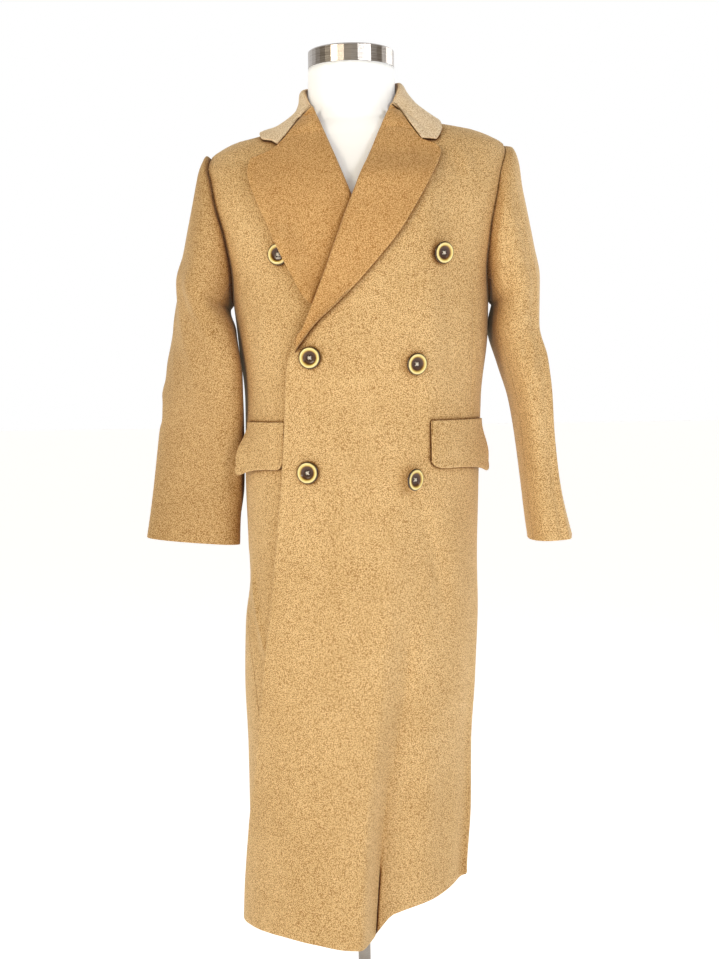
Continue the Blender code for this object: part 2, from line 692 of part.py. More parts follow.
def lapel(name, side, edge_table, gorge_table, base, bump, finish):
    """A lapel: a folded wall that wraps the roll line and lies on its front. base(x, z) is the panel's own height."""
    across = [0.05, 0.14, 0.26, 0.40, 0.55, 0.70, 0.84, 0.94, 1.0]
    levels = [0.0, 0.07, 0.14, 0.22, 0.30, 0.38, 0.46, 0.54, 0.62, 0.70, 0.78, 0.85, 0.91, 0.96, 1.0]

    def place(x, z, out):
        return front_point(x, z, base(x, z) + out)

    outer, inner = [], []
    for v in levels:
        roll, edge = lapel_row(v, side, edge_table, gorge_table[-1].z)
        toward_edge = (edge - roll).normalized()
        # near the top the row bends along the gorge seam, so the top row is that seam and the notch
        corner = Vector(gorge_table[0])
        bend = ease((v - 0.70) / 0.30)
        rows = [[], []]
        for wrap in ROLL_WRAP:
            flat = roll - wrap.past * toward_edge
            point = place(flat.x, flat.y, wrap.out)
            inside = roll - (wrap.past - FOLDED * (1.0 if wrap.out < 0.004 else 0.75)) * toward_edge
            under = wrap.out - (0.0 if wrap.out < 0 else FOLDED * (0.15 if wrap.out < 0.004 else 0.9))
            rows[0].append(point)
            rows[1].append(place(inside.x, inside.y, under))
        share_at_corner = (corner - roll).length / max((corner - roll).length + (edge - corner).length, 1e-6)
        for u in across:
            straight = roll.lerp(edge, u)
            if u < share_at_corner:
                share = u / share_at_corner
                bulge = gorge_spot(gorge_table, share) - Vector(gorge_table[-1]).lerp(corner, share)
                bent = roll.lerp(corner, share) + bulge
            else:
                bent = corner.lerp(edge, (u - share_at_corner) / (1 - share_at_corner))
            flat = straight.lerp(bent, bend**3)
            lift = mix(0.0030, 0.0020, ease(u / 0.8)) + bump(flat.x, flat.y)
            rows[0].append(place(flat.x, flat.y, lift + FOLDED))
            rows[1].append(place(flat.x, flat.y, lift))
        if side < 0:
            rows = [list(reversed(row)) for row in rows]
        outer.append(rows[0])
        inner.append(rows[1])
    return wall(name, outer, inner, finish)


# The collar at each place round the neck: the azimuth and height of its fold, the azimuth of its outer edge, and how
# far it falls from the one to the other. The first row is the gorge's end, the next two the collar's point.
Collar = namedtuple("Collar", "fold_azimuth fold_z edge_azimuth fall")
RIGHT_COLLAR = [
    Collar(56.5, 1.4190, 56.0, 0.0900),
    Collar(58.5, 1.4215, 58.0, 0.0885),
    Collar(64.0, 1.4305, 62.5, 0.0865),
    Collar(70.0, 1.4370, 70.0, 0.0700),
    Collar(78.0, 1.4440, 80.0, 0.0630),
    Collar(95.0, 1.4545, 98.0, 0.0665),
    Collar(120.0, 1.4580, 122.0, 0.0730),
    Collar(150.0, 1.4590, 151.0, 0.0770),
]
LEFT_COLLAR = [
    Collar(60.5, 1.4175, 59.5, 0.0805),
    Collar(62.5, 1.4195, 64.5, 0.0862),
    Collar(68.0, 1.4255, 70.0, 0.0834),
    Collar(80.0, 1.4385, 83.0, 0.0765),
    Collar(95.0, 1.4460, 98.0, 0.0755),
    Collar(120.0, 1.4530, 122.0, 0.0760),
    Collar(150.0, 1.4570, 151.0, 0.0770),
]
COLLAR_EASE = {1: 0.0040, -1: 0.0}  # how much further the stand is from the neck in front, on each side
COLLAR_SAG = {1: 0.002, -1: 0.015}  # how far the fall sinks towards the shoulder, on each side
BACK_COLLAR = Collar(180.0, 1.4590, 180.0, 0.0780)
FOLD_R = 0.0034  # the collar's fold over the top of its stand
FALL_SHARES = (0.10, 0.25, 0.44, 0.64, 0.84)  # where the rows of points of the fall lie, from its edge to the fold
GORGE_SHARES = (0.98, 0.86, 0.70, 0.52, 0.34, 0.16)  # where those rows meet the gorge seam
GORGE_GAP = 0.0028  # between the lapel's top edge and the middle of the collar's edge


def heading(azimuth):
    return Vector((math.sin(math.radians(azimuth)), -math.cos(math.radians(azimuth)), 0.0))


def place_over(x, y):
    """The turn and level at which the coat's shoulders pass under or over the plan position x, y."""
    low, high = 1.290, NECKLINE_Z
    for _ in range(40):
        middle = (low + high) / 2
        section = section_at(COAT, middle)
        depth = section.front if y < 0 else section.back
        across = abs(x - section.centre) / section.half_width
        if across**section.power + abs(y / depth) ** section.power > 1:
            high = middle
        else:
            low = middle
    turn = math.degrees(math.atan2(across ** (section.power / 2), abs(y / depth) ** (section.power / 2)))
    return math.copysign(turn if y < 0 else 180 - turn, x), low


def collar_edge(fold, azimuth, fall, out):
    """Where the collar's outer edge lies on the shoulders when it falls that far from its fold."""
    low, high = 0.070, 0.190
    for _ in range(30):
        reach = (low + high) / 2
        spot = coat_point(*place_over(*(reach * heading(azimuth)).xy), out)
        low, high = (reach, high) if (spot - fold).length < fall else (low, reach)
    return spot


def kept_off(point, out):
    """The point, moved up to lie `out` off the coat if it is nearer."""
    spot = coat_point(*place_over(point.x, point.y), out)
    return spot if point.z < spot.z else point


def neckline_point(azimuth):
    """The point of the coat's neckline at a true azimuth about the neck."""
    section = section_at(COAT, NECKLINE_Z)
    away = heading(azimuth)
    depth = section.front if away.y < 0 else section.back
    share = abs(away.x / section.half_width) ** section.power + abs(away.y / depth) ** section.power
    point = away / share ** (1 / section.power)
    point.z = NECKLINE_Z + lean(point.x, NECKLINE_Z)
    return point


def neck_radius(away, z):
    section = section_at(FORM, z)
    depth = section.front if away.y < 0 else section.back
    share = abs(away.x / section.half_width) ** section.power + abs(away.y / depth) ** section.power
    return 1 / share ** (1 / section.power)


def collar_line(side, row):
    """The middle line of the collar's wall: from its outer edge up the fall, over the fold and down the stand."""
    away = heading(side * row.fold_azimuth)
    half = FOLDED / 2
    middle_z = row.fold_z - FOLD_R - half
    stand_off = 0.0014 + COLLAR_EASE[side] * ease((95 - row.fold_azimuth) / 35)
    middle = away * (neck_radius(away, middle_z) + stand_off + half + FOLD_R)
    middle.z = middle_z
    fold = []
    for angle in (140, 90, 45, 0):
        radians = math.radians(angle)
        fold.append(middle + FOLD_R * Vector((0, 0, math.sin(radians))) - FOLD_R * math.cos(radians) * away)
    base = neckline_point(side * row.fold_azimuth) + Vector((0, 0, 0.0016)) - half * away
    edge = collar_edge(fold[0], side * row.edge_azimuth, row.fall, half + 0.0028)
    sag = mix(COLLAR_SAG[side], COLLAR_SAG[1], ease((row.fold_azimuth - 95) / 85))
    sag *= ease((row.fold_azimuth - 58) / 22)
    sink = -sag * (0.6 * away + Vector((0, 0, 0.8)))
    fall = []
    for share in FALL_SHARES:
        point = edge.lerp(fold[0], share) + 4 * share * (1 - share) * sink
        fall.append(kept_off(point, half + 0.0036))
    return [edge] + fall + fold + [fold[-1].lerp(base, 0.5), base]


def gorge(side, table, row):
    """The middle line of the collar's front edge, which runs along the lapel's top edge."""
    line = collar_line(side, row)
    for k, share in enumerate(GORGE_SHARES):
        toward_roll = gorge_spot(table, share - 0.02) - gorge_spot(table, share + 0.02)
        beside = side * Vector((toward_roll.y, -toward_roll.x)).normalized()
        x, z = gorge_spot(table, share) + GORGE_GAP * beside
        base = cover(x, z) if side > 0 else 0.0
        line[k] = front_point(x, z, base + FOLDED / 2 + mix(0.0046, 0.0030, share))
    return line


def collar(name, finish):
    """The collar: one folded wall round the back of the neck, from gorge to gorge."""
    lines = []
    for side, table, seam in ((1, RIGHT_COLLAR, RIGHT_GORGE), (-1, LEFT_COLLAR, LEFT_GORGE)):
        table = table + [BACK_COLLAR]
        first, last = table[0].fold_azimuth, table[1].fold_azimuth
        azimuths = [first, last, 60.5, 64.0, 70.0, 78.0, 86.0, 95.0, 107.0, 120.0, 135.0, 150.0, 165.0]
        azimuths = [a for k, a in enumerate(azimuths) if k < 2 or a > last + 1]
        rows = [Collar(a, *[read(table, "fold_azimuth", n, a) for n in Collar._fields[1:]]) for a in azimuths]
        start = rows[0]._replace(fold_azimuth=first - 2.5, fold_z=rows[0].fold_z - 0.001)
        half = [gorge(side, seam, start)] + [collar_line(side, row) for row in rows]
        lines += half + [collar_line(1, BACK_COLLAR)] if side > 0 else half[::-1]
    grids = [[], []]
    for c, line in enumerate(lines):
        columns = [[], []]
        for r, point in enumerate(line):
            round_neck = lines[min(c + 1, len(lines) - 1)][r] - lines[max(c - 1, 0)][r]
            along = line[min(r + 1, len(line) - 1)] - line[max(r - 1, 0)]
            normal = round_neck.cross(along).normalized()
            columns[0].append(point + FOLDED / 2 * normal)
            columns[1].append(point - FOLDED / 2 * normal)
        grids[0].append(columns[0])
        grids[1].append(columns[1])
    outer, inner = [[[column[r] for column in grid] for r in range(len(lines[0]))] for grid in grids]
    return wall(name, outer, inner, finish)


# ---------------------------------------------------------------- flaps and buttons
def flap_corner(along, reach, share):
    """How much of a flap's height its rounded corner takes off, `along` from the end, as a share of that height."""
    inside = max(0.0, 1 - along / reach)
    return share * (1 - math.sqrt(1 - inside**2))


def pocket_flap(name, side, finish):
    """A pocket flap: hangs from its top edge on the panel, and stands off it a little towards its lower rear corner."""
    outer, inner = [], []
    downs = [0.0, 0.12, 0.32, 0.55, 0.76, 0.92, 1.0]
    acrosses = [0.0, 0.02, 0.05, 0.09, 0.15, 0.27, 0.40, 0.55, 0.70, 0.84, 0.92, 0.965, 1.0]
    for down in reversed(downs):
        rows = [[], []]
        for across in acrosses:
            corners = flap_corner(across, 0.14, 0.16) + flap_corner(1 - across, 0.08, 0.10)
            z = FLAP_TOP_Z - down * (FLAP_H * (1 - corners) + FLAP_REAR_DROP * across**4)
            start = turn_at_x(RIGHT_FLAP_X if side > 0 else read(OVERLAP_EDGE, "z", "x", z) - 0.0009, z)
            turn = mix(start, mix(*FLAP_REAR[side], down), across)
            x = body_point(COAT, turn, z).x
            base = cover(x, z) if side > 0 else 0.0
            stand = 0.0008 + 0.0012 * down + FLAP_FLARE[side] * ease((down - 0.05) / 0.65) * across**4
            rows[0].append(coat_point(turn, z, base + stand + FOLDED))
            rows[1].append(coat_point(turn, z, base + stand))
        if side < 0:
            rows = [list(reversed(row)) for row in rows]
        outer.append(rows[0])
        inner.append(rows[1])
    return wall(name, outer, inner, finish)


BUTTON_PROFILE = [
    (0.0, 0.0026),
    (0.0074, 0.0026),
    (0.0110, 0.0050),
    (0.0138, 0.0048),
    (BUTTON_R, 0.0032),
    (BUTTON_R - 0.0014, 0.0014),
    (0.0080, 0.0),
    (SHANK_R, 0.0),
]


def button(row, cloth, finish):
    """A dished, rimmed button on its thread shank, which ends just off the cloth."""
    turn = turn_at_x(row.x, row.z)
    face = normal_of(lambda u, v: body_point(COAT, u, v), turn, row.z, 0.5, 0.002)
    across = Vector((0, 0, 1)).cross(face).normalized()
    turned_by, tip = math.radians(row.face_turn), math.radians(row.face_tip)
    facing = (face * math.cos(turned_by) + across * math.sin(turned_by) - math.sin(tip) * Vector((0, 0, 1))).normalized()
    slant = math.sin(math.hypot(turned_by, tip))
    lifted = 0.0014 + (BUTTON_R + 0.0008) * slant
    shank = lifted - 0.0004 - 0.95 * SHANK_R * slant
    start = coat_point(turn, row.z, 0.050)
    found, spot, _, _ = cloth.ray_cast(start, -face)
    profile = BUTTON_PROFILE + [(SHANK_R, -shank), (0.0, -shank)]
    made = turned(row.name, profile, finish, 16, spot + lifted * facing)
    made.rotation_euler = facing.to_track_quat("Z", "Y").to_euler()
    return made


# ---------------------------------------------------------------- the dress form
def form_body(finish):
    levels = [0.700, 0.715, 0.760, 0.830, 0.910, 0.980, 1.050, 1.120, 1.190, 1.250, 1.300, 1.335]
    levels += [1.3525, 1.3640, 1.3740, 1.3820, 1.3890, 1.3970, 1.4120, 1.4400, CAP_Z - SEAM_GAP]
    rings = []
    for level in levels:
        tuck = 1 - 0.10 * (1 - ease((level - 0.700) / 0.030))
        ring = []
        for k in range(28):
            point = body_point(FORM, k * 360 / 28, level)
            ring.append(Vector((point.x * tuck, point.y * tuck, point.z if level < 1.42 else level)))
        rings.append(ring)
    return loft("form_body", rings, finish)


def neck_cap(finish):
    r = NECK_R
    profile = [(0.0, CAP_H + 0.0020), (r - 0.012, CAP_H + 0.0018), (r - 0.0030, CAP_H), (r, CAP_H - 0.0022), (r, 0.0), (0.0, 0.0)]
    return turned("neck_cap", profile, finish, 40, (0, 0, CAP_Z))


def pole(finish):
    """The pole, from the foot's socket up to the socket under the form."""
    low, high = FOOT_H + 0.028, 0.700 - 0.014
    profile = [(0.0, high), (POLE_R - 0.0006, high), (POLE_R, high - 0.0006), (POLE_R, low), (0.0, low)]
    return turned("pole", profile, finish, 20, (0, 0, 0))


def form_socket(finish):
    profile = [(0.0, 0.0137), (0.030, 0.0137), (0.030, 0.0097), (0.0165, 0.0070), (0.0165, 0.0004), (0.0, 0.0004)]
    return turned("form_socket", profile, finish, 24, (0, 0, 0.700 - 0.014))


def foot_socket(finish):
    height = 0.0277
    profile = [(0.0, height), (0.0150, height), (0.0165, height - 0.0015), (0.0165, 0.008), (0.030, 0.0003), (0.0, 0.0003)]
    return turned("foot_socket", profile, finish, 24, (0, 0, FOOT_H))


def foot(finish):
    r = FOOT_R
    profile = [(0.0, FOOT_H), (r - 0.004, FOOT_H), (r - 0.001, FOOT_H - 0.0015), (r, FOOT_H - 0.004), (r, 0.0), (0.0, 0.0)]
    return turned("foot", profile, finish, 48, (0, 0, 0))


# ---------------------------------------------------------------- the part
for old in list(bpy.data.objects):
    bpy.data.objects.remove(old)
coat_collection = bpy.data.collections.new("overcoat_on_form")
bpy.context.scene.collection.children.link(coat_collection)

wool = material("camel_wool", (0.52, 0.33, 0.15), 0.9)
horn = material("horn", (0.42, 0.28, 0.06), 0.3)
jersey = material("form_cover", (0.88, 0.87, 0.85), 0.8)
steel = material("brushed_steel", (0.62, 0.61, 0.60), 0.3, 1.0)
grey_steel = material("stand_steel", (0.36, 0.34, 0.31), 0.4, 1.0)

fronts = {
    False: front_panel("front_left", -1, LEFT_SIDE_SEAM, wool),
    True: front_panel("front_right", 1, RIGHT_SIDE_SEAM, wool),
}
back_panel("back_left", -1, LEFT_SIDE_SEAM, wool)
back_panel("back_right", 1, RIGHT_SIDE_SEAM, wool)

for part in ("top", "under"):
    sleeve_part(f"sleeve_left_{part}", -1, LEFT_CAP, LEFT_ARM, part, wool)
    sleeve_part(f"sleeve_right_{part}", 1, RIGHT_CAP, RIGHT_ARM, part, wool)


def over_button(x, z):
    """The left lapel rides up where it lies on the upper left button."""
    away = math.hypot(x - BUTTONS[0].x, z - BUTTONS[0].z)
    return 0.0065 * (1 - ease((away - 0.014) / 0.035))


lapel("lapel_left", -1, LEFT_LAPEL_EDGE, LEFT_GORGE, lambda x, z: 0.0, over_button, wool)
lapel("lapel_right", 1, RIGHT_LAPEL_EDGE, RIGHT_GORGE, cover, lambda x, z: 0.0, wool)
collar("collar", wool)
pocket_flap("pocket_flap_left", -1, wool)
pocket_flap("pocket_flap_right", 1, wool)
for row in BUTTONS:
    button(row, fronts[row.on_overlap], horn)

form_body(jersey)
neck_cap(steel)
form_socket(grey_steel)
pole(grey_steel)
foot_socket(grey_steel)
foot(grey_steel)
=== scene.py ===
"""The looks of a camel wool overcoat on a limbless dress form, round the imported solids.

Every cloth solid is replaced by a thin closed shell on the same worked-out surface, with soft edges,
sewn seams and the creases of worn wool. The dress form and its stand keep their solids and get a finish.
Units are metres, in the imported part's own frame: +Z is up, the coat faces -Y, and left and right are the
viewer's.
"""

import math
from collections import namedtuple

import bmesh
import bpy
import numpy as np
from mathutils import Matrix, Vector


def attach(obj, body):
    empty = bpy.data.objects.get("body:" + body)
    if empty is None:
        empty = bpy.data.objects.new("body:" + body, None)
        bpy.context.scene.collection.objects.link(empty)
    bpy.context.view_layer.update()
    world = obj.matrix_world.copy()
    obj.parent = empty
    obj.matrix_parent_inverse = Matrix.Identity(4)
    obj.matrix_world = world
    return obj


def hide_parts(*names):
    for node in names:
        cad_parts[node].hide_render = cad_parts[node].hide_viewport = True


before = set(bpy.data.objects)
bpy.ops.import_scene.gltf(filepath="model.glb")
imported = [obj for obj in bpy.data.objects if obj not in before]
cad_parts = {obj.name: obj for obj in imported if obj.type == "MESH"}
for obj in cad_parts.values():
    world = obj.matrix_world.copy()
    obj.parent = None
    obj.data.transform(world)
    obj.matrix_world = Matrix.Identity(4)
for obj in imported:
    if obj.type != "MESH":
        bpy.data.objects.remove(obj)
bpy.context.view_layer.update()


def rows(kind, table):
    """A table whose rows have the names of their columns."""
    return [kind(*row) for row in table]

# ---------------------------------------------------------------- the camera, first
PICTURE = (719, 959)  # the photograph's width and height in pixels
FOCAL_PX = 1517  # focal length, in the same pixels
SENSOR = 36.0
CAMERA_AT = (0.0045, -2.20, 1.03)
PITCH = math.radians(1.5)
ROLL = math.radians(0.87)
HORIZON_PX = 102.5  # how far the picture's middle lies under the camera's own height

# ---------------------------------------------------------------- driving sizes, as in the part's source
CLOTH = 0.0026  # wool coating with its facing
FOLDED = 0.0032  # two layers of cloth, as in a lapel, collar or flap
SEAM_GAP = 0.0004  # between two pieces that are sewn together
LAYER_GAP = 0.0022  # between two layers that lie on each other

HEM_Z = 0.242  # the coat's lowest point above the floor
BREAK_Z = 1.084  # where the lapels start to turn back
UNDERARM_Z = 1.135
SHOULDER_TIP_Z = 1.3565
NECKLINE_Z = 1.402
SHOULDER_LEAN = {1: 0.02, -1: 0.044}  # each shoulder's rise to the viewer's right, as a share of the width
SHOULDER_DIP = {1: 0.0, -1: 0.0045}  # how far each shoulder dips between the neck and its tip
SHOULDER_REACH = 0.22  # from the middle to the end of that dip

NECK_R = 0.062  # the form's neck cap
CAP_Z = 1.4745

# The coat's outer surface as level sections: superellipses, each with its own depth in front and behind.
Section = namedtuple("Section", "z half_width front back power centre")
COAT = rows(Section, [
    (0.23, 0.159, 0.134, 0.198, 2.2, -0.009),
    (0.31, 0.159, 0.135, 0.192, 2.2, -0.0075),
    (0.41, 0.161, 0.136, 0.184, 2.2, -0.0025),
    (0.5, 0.162, 0.138, 0.177, 2.25, -0.002),
    (0.6, 0.167, 0.141, 0.169, 2.3, 0.0),
    (0.685, 0.168, 0.143, 0.161, 2.35, 0.0035),
    (0.765, 0.165, 0.144, 0.154, 2.4, 0.0065),
    (0.88, 0.168, 0.145, 0.143, 2.4, 0.007),
    (1.0, 0.17, 0.143, 0.124, 2.4, 0.01),
    (1.08, 0.179, 0.142, 0.124, 2.45, 0.011),
    (1.165, 0.186, 0.14, 0.129, 2.5, 0.008),
    (1.23, 0.202, 0.134, 0.131, 2.6, 0.006),
    (1.29, 0.219, 0.119, 0.125, 2.6, 0.0045),
    (1.33, 0.2215, 0.101, 0.113, 2.55, 0.005),
    (1.3565, 0.21, 0.085, 0.099, 2.5, 0.0075),
    (1.3665, 0.1955, 0.078, 0.092, 2.5, 0.0065),
    (1.377, 0.1735, 0.071, 0.085, 2.45, 0.0045),
    (1.3835, 0.146, 0.07, 0.0815, 2.4, 0.003),
    (1.389, 0.121, 0.0685, 0.078, 2.35, 0.001),
    (1.402, 0.08, 0.0665, 0.072, 2.2, 0.0),
])

# The dress form's neck, inside the collar, with the same columns.
NECK = rows(Section, [
    (1.3795, 0.142, 0.063, 0.075, 2.3, 0.002),
    (1.385, 0.117, 0.062, 0.071, 2.25, 0.001),
    (1.396, 0.074, 0.055, 0.0655, 2.05, 0.0),
    (1.412, 0.065, 0.0545, 0.063, 2.0, 0.0),
    (1.44, 0.063, 0.0585, 0.0625, 2.0, 0.0),
    (CAP_Z - 0.0005, NECK_R, NECK_R, NECK_R, 2.0, 0.0),
])

# The deep fold in the skirt: to the right of it the front stands back by `depth`, over twice `half_width`.
Fold = namedtuple("Fold", "z x half_width depth")
SKIRT_FOLD = rows(Fold, [
    (0.23, 0.002, 0.011, 0.05),
    (0.4, 0.014, 0.014, 0.04),
    (0.6, 0.044, 0.02, 0.024),
    (0.75, 0.06, 0.024, 0.012),
    (0.9, 0.072, 0.028, 0.0),
])

# How far the hem rises above HEM_Z at each turn round the coat.
Hem = namedtuple("Hem", "turn rise")
HEM = rows(Hem, [
    (-180, 0.032),
    (-90, 0.01),
    (-60, 0.012),
    (-40, 0.012),
    (-20, 0.007),
    (-5, 0.001),
    (4, 0.0),
    (16, 0.032),
    (45, 0.048),
    (75, 0.062),
    (100, 0.066),
    (180, 0.032),
])
HEM_RISE_ENDS_Z = 0.6

# The front edges, below the lapels, as x at each height.
Edge = namedtuple("Edge", "z x")
OVERLAP_EDGE = rows(Edge, [
    (0.23, -0.166),
    (0.29, -0.163),
    (0.373, -0.156),
    (0.504, -0.141),
    (0.604, -0.131),
    (0.743, -0.1145),
    (0.8427, -0.1046),
    (0.8902, -0.0998),
    (0.9445, -0.0963),
    (0.9988, -0.0933),
    (1.0395, -0.089),
    (1.0666, -0.0835),
    (BREAK_Z, -0.0805),
])
UNDERLAP_EDGE = rows(Edge, [(0.23, 0.074), (0.7, 0.076), (BREAK_Z, 0.066)])

# Where the side seams run, as a turn in degrees from the middle of the front.
Seam = namedtuple("Seam", "z turn")
LEFT_SIDE_SEAM = rows(Seam, [(0.23, -50), (0.42, -52), (0.6, -60), (0.73, -84), (0.8, -90)])
RIGHT_SIDE_SEAM = rows(Seam, [(0.23, 85), (0.33, 84), (0.42, 82), (0.52, 86), (0.65, 90)])

# Lapels: the roll line is straight from neck to break, and the edge runs from the break up to the corner.
Point = namedtuple("Point", "x z")
ROLL_TOP_X = {1: 0.0555, -1: -0.0540}
ROLL_BREAK_X = {1: -0.0715, -1: 0.066}
RIGHT_LAPEL_EDGE = rows(Point, [
    (-0.08, 1.06),
    (-0.0696, 1.0761),
    (-0.0489, 1.104),
    (-0.021, 1.131),
    (0.02, 1.174),
    (0.0624, 1.225),
    (0.0965, 1.28),
    (0.117, 1.319),
    (0.1218, 1.335),
    (0.1165, 1.345),
])
LEFT_LAPEL_EDGE = rows(Point, [
    (0.072, 1.08),
    (-0.01, 1.104),
    (-0.066, 1.139),
    (-0.087, 1.183),
    (-0.108, 1.23),
    (-0.1275, 1.274),
    (-0.1432, 1.32),
    (-0.14, 1.3395),
])
# The gorge seam, between collar and lapel, from the notch up to the roll line.
RIGHT_GORGE = rows(Point, [
    (0.0965, 1.3547),
    (0.0893, 1.3658),
    (0.0822, 1.377),
    (0.075, 1.388),
    (0.0672, 1.3985),
    (0.0581, 1.408),
])
LEFT_GORGE = rows(Point, [
    (-0.1035, 1.3609),
    (-0.0952, 1.372),
    (-0.0866, 1.3822),
    (-0.0775, 1.3922),
    (-0.069, 1.4032),
    (-0.0582, 1.413),
])

# Levels of the main rows of points in the fronts and backs. The seams meet because both sides share them.
SKIRT_LEVELS = [HEM_Z, 0.3, 0.37, 0.45, 0.53, 0.61, 0.7, 0.79, 0.88, 0.96, 1.03, BREAK_Z]
ARMHOLE_LEVELS = [UNDERARM_Z, 1.142, 1.164, 1.197, 1.235, 1.272, 1.305, 1.332, 1.35, SHOULDER_TIP_Z]
SHOULDER_LEVELS = [1.365, 1.374, 1.382, 1.389, 1.3955, NECKLINE_Z]
ALL_LEVELS = SKIRT_LEVELS + ARMHOLE_LEVELS + SHOULDER_LEVELS

ARMHOLE_FRONT = 0.072  # the armhole's half depth in front of the shoulder seam
ARMHOLE_BACK = 0.082

# The sleeve caps: sections that swing out about the underarm, with their slants from upright and heights.
Cap = namedtuple("Cap", "slant span half_depth")
RIGHT_CAP = rows(Cap, [
    (8.7, 0.225, 0.077),
    (10.0, 0.2205, 0.08),
    (11.2, 0.213, 0.082),
    (12.6, 0.202, 0.083),
    (15.5, 0.1765, 0.085),
    (22.7, 0.141, 0.087),
    (37.6, 0.103, 0.088),
    (61.3, 0.0785, 0.088),
])
LEFT_CAP = rows(Cap, [
    (8.9, 0.219, 0.077),
    (10.5, 0.2125, 0.08),
    (12.2, 0.203, 0.082),
    (14.2, 0.189, 0.083),
    (17.1, 0.171, 0.084),
    (27.3, 0.13, 0.086),
    (40.5, 0.102, 0.087),
    (63.6, 0.084, 0.087),
])
# The arm of each sleeve: each section's middle, slant, half sizes, twist about the arm, and outer ridge.
Arm = namedtuple("Arm", "x y z slant half_out half_depth twist ridge")
RIGHT_ARM = rows(Arm, [
    (0.2285, 0.0, 1.1, 86, 0.037, 0.087, 0, 0.003),
    (0.2402, -0.003, 1.05, 84, 0.0352, 0.0845, 0, 0.005),
    (0.2495, -0.007, 1.0, 84, 0.03, 0.0815, 1, 0.006),
    (0.254, -0.011, 0.955, 84, 0.0275, 0.0785, 2, 0.006),
    (0.2615, -0.018, 0.885, 85, 0.0275, 0.074, 4, 0.006),
    (0.2685, -0.024, 0.835, 86, 0.0298, 0.0705, 5, 0.006),
    (0.275, -0.028, 0.798, 87, 0.032, 0.0675, 6, 0.006),
])
LEFT_ARM = rows(Arm, [
    (-0.2175, -0.004, 1.1, 86, 0.042, 0.085, 20, 0.002),
    (-0.2195, -0.009, 1.04, 86, 0.038, 0.084, 38, 0.003),
    (-0.2225, -0.004, 0.99, 86, 0.0345, 0.0825, 45, 0.003),
    (-0.227, 0.008, 0.94, 86, 0.0325, 0.0795, 53, 0.003),
    (-0.2315, 0.014, 0.88, 86, 0.031, 0.0762, 62, 0.003),
    (-0.237, 0.01, 0.835, 86, 0.03, 0.0725, 68, 0.002),
    (-0.2405, 0.006, 0.795, 86, 0.0285, 0.071, 77, 0.002),
])
FRONT_SEAM_ANGLE = 127  # where the sleeve's two seams run, from straight outwards
BACK_SEAM_ANGLE = 102

# Pocket flaps, on each side: from the front end to the rear end as a turn, and their heights.
FLAP_TOP_Z = 0.9695
FLAP_H = 0.066
FLAP_W = 0.10
FLAP_STAND = (0.0008, 0.0020)  # how far it stands off the panel at its top and at its bottom
FLARE_STEP = (0.05, 0.70)  # the share of its height over which its rear corner flares
FLAP_REAR_DROP = 0.012
FLAP_FLARE = {1: 0.0095, -1: 0.0150}
FLAP_REAR = {1: (77, 83), -1: (-69, -71)}  # the turn of its rear end, at the top and at the bottom
RIGHT_FLAP_X = 0.099  # the other flap starts at the overlap
FLAP_PAST_EDGE = 0.0009  # how far out from under the overlap's edge it starts
FLAP_POINTS = (34, 72)  # a flap's rows and columns of points
FRONT_CORNER = (0.14, 0.16)  # how far its lower front corner is rounded, along it and up it, as shares
REAR_CORNER = (0.08, 0.10)

# How a lapel wraps the roll line: each skin's distance past the line and its height over the panel.
Wrap = namedtuple("Wrap", "outer_past outer_out inner_past inner_out")
ROLL_WRAP = rows(Wrap, [
    (0.0042, -0.0022, 0.0010, -0.0022),
    (0.0058, 0.0010, 0.0026, 0.00052),
    (0.0040, 0.0050, 0.0016, 0.00212),
])

# The collar round the neck: the azimuth and height of its fold, the azimuth of its outer edge, and how
# far it falls from the one to the other. The first row is the gorge's end, and the next two are its point.
Collar = namedtuple("Collar", "fold_azimuth fold_z edge_azimuth fall")
RIGHT_COLLAR = rows(Collar, [
    (56.5, 1.419, 56.0, 0.09),
    (58.5, 1.4215, 58.0, 0.0885),
    (64.0, 1.4305, 62.5, 0.0865),
    (70.0, 1.437, 70.0, 0.07),
    (78.0, 1.444, 80.0, 0.063),
    (95.0, 1.4545, 98.0, 0.0665),
    (120.0, 1.458, 122.0, 0.073),
    (150.0, 1.459, 151.0, 0.077),
])
LEFT_COLLAR = rows(Collar, [
    (60.5, 1.4175, 59.5, 0.0805),
    (62.5, 1.4195, 64.5, 0.0862),
    (68.0, 1.4255, 70.0, 0.0834),
    (80.0, 1.4385, 83.0, 0.0765),
    (95.0, 1.446, 98.0, 0.0755),
    (120.0, 1.453, 122.0, 0.076),
    (150.0, 1.457, 151.0, 0.077),
])
COLLAR_EASE = {1: 0.004, -1: 0.0}  # how much further the stand is from the neck in front, on each side
COLLAR_SAG = {1: 0.002, -1: 0.015}  # how far the fall sinks towards the shoulder, on each side
BACK_COLLAR = Collar(180.0, 1.459, 180.0, 0.078)
FOLD_R = 0.0034  # the collar's fold over the top of its stand
FALL_SHARES = (0.1, 0.25, 0.44, 0.64, 0.84)  # where the fall's rows of points lie, from its edge up
GORGE_SHARES = (0.98, 0.86, 0.7, 0.52, 0.34, 0.16)  # where those rows meet the gorge seam
GORGE_BESIDE = 0.02  # the seam's direction comes from points this share before and behind
BEFORE_GORGE = (2.5, 0.001)  # how far the fold turns on and drops from its first row to the gorge itself
FOLD_TURNS = (140, 115, 90, 67, 45, 22, 0)  # the fold's rows of points, from the fall over to the stand
SAG_WAY = (0.6, 0.8)  # the fall sags inwards and down by these shares
LEVEL_HALVINGS = 40  # how often the search for a level on the shoulders halves its range
REACH_HALVINGS = 24  # and the search for the collar's edge


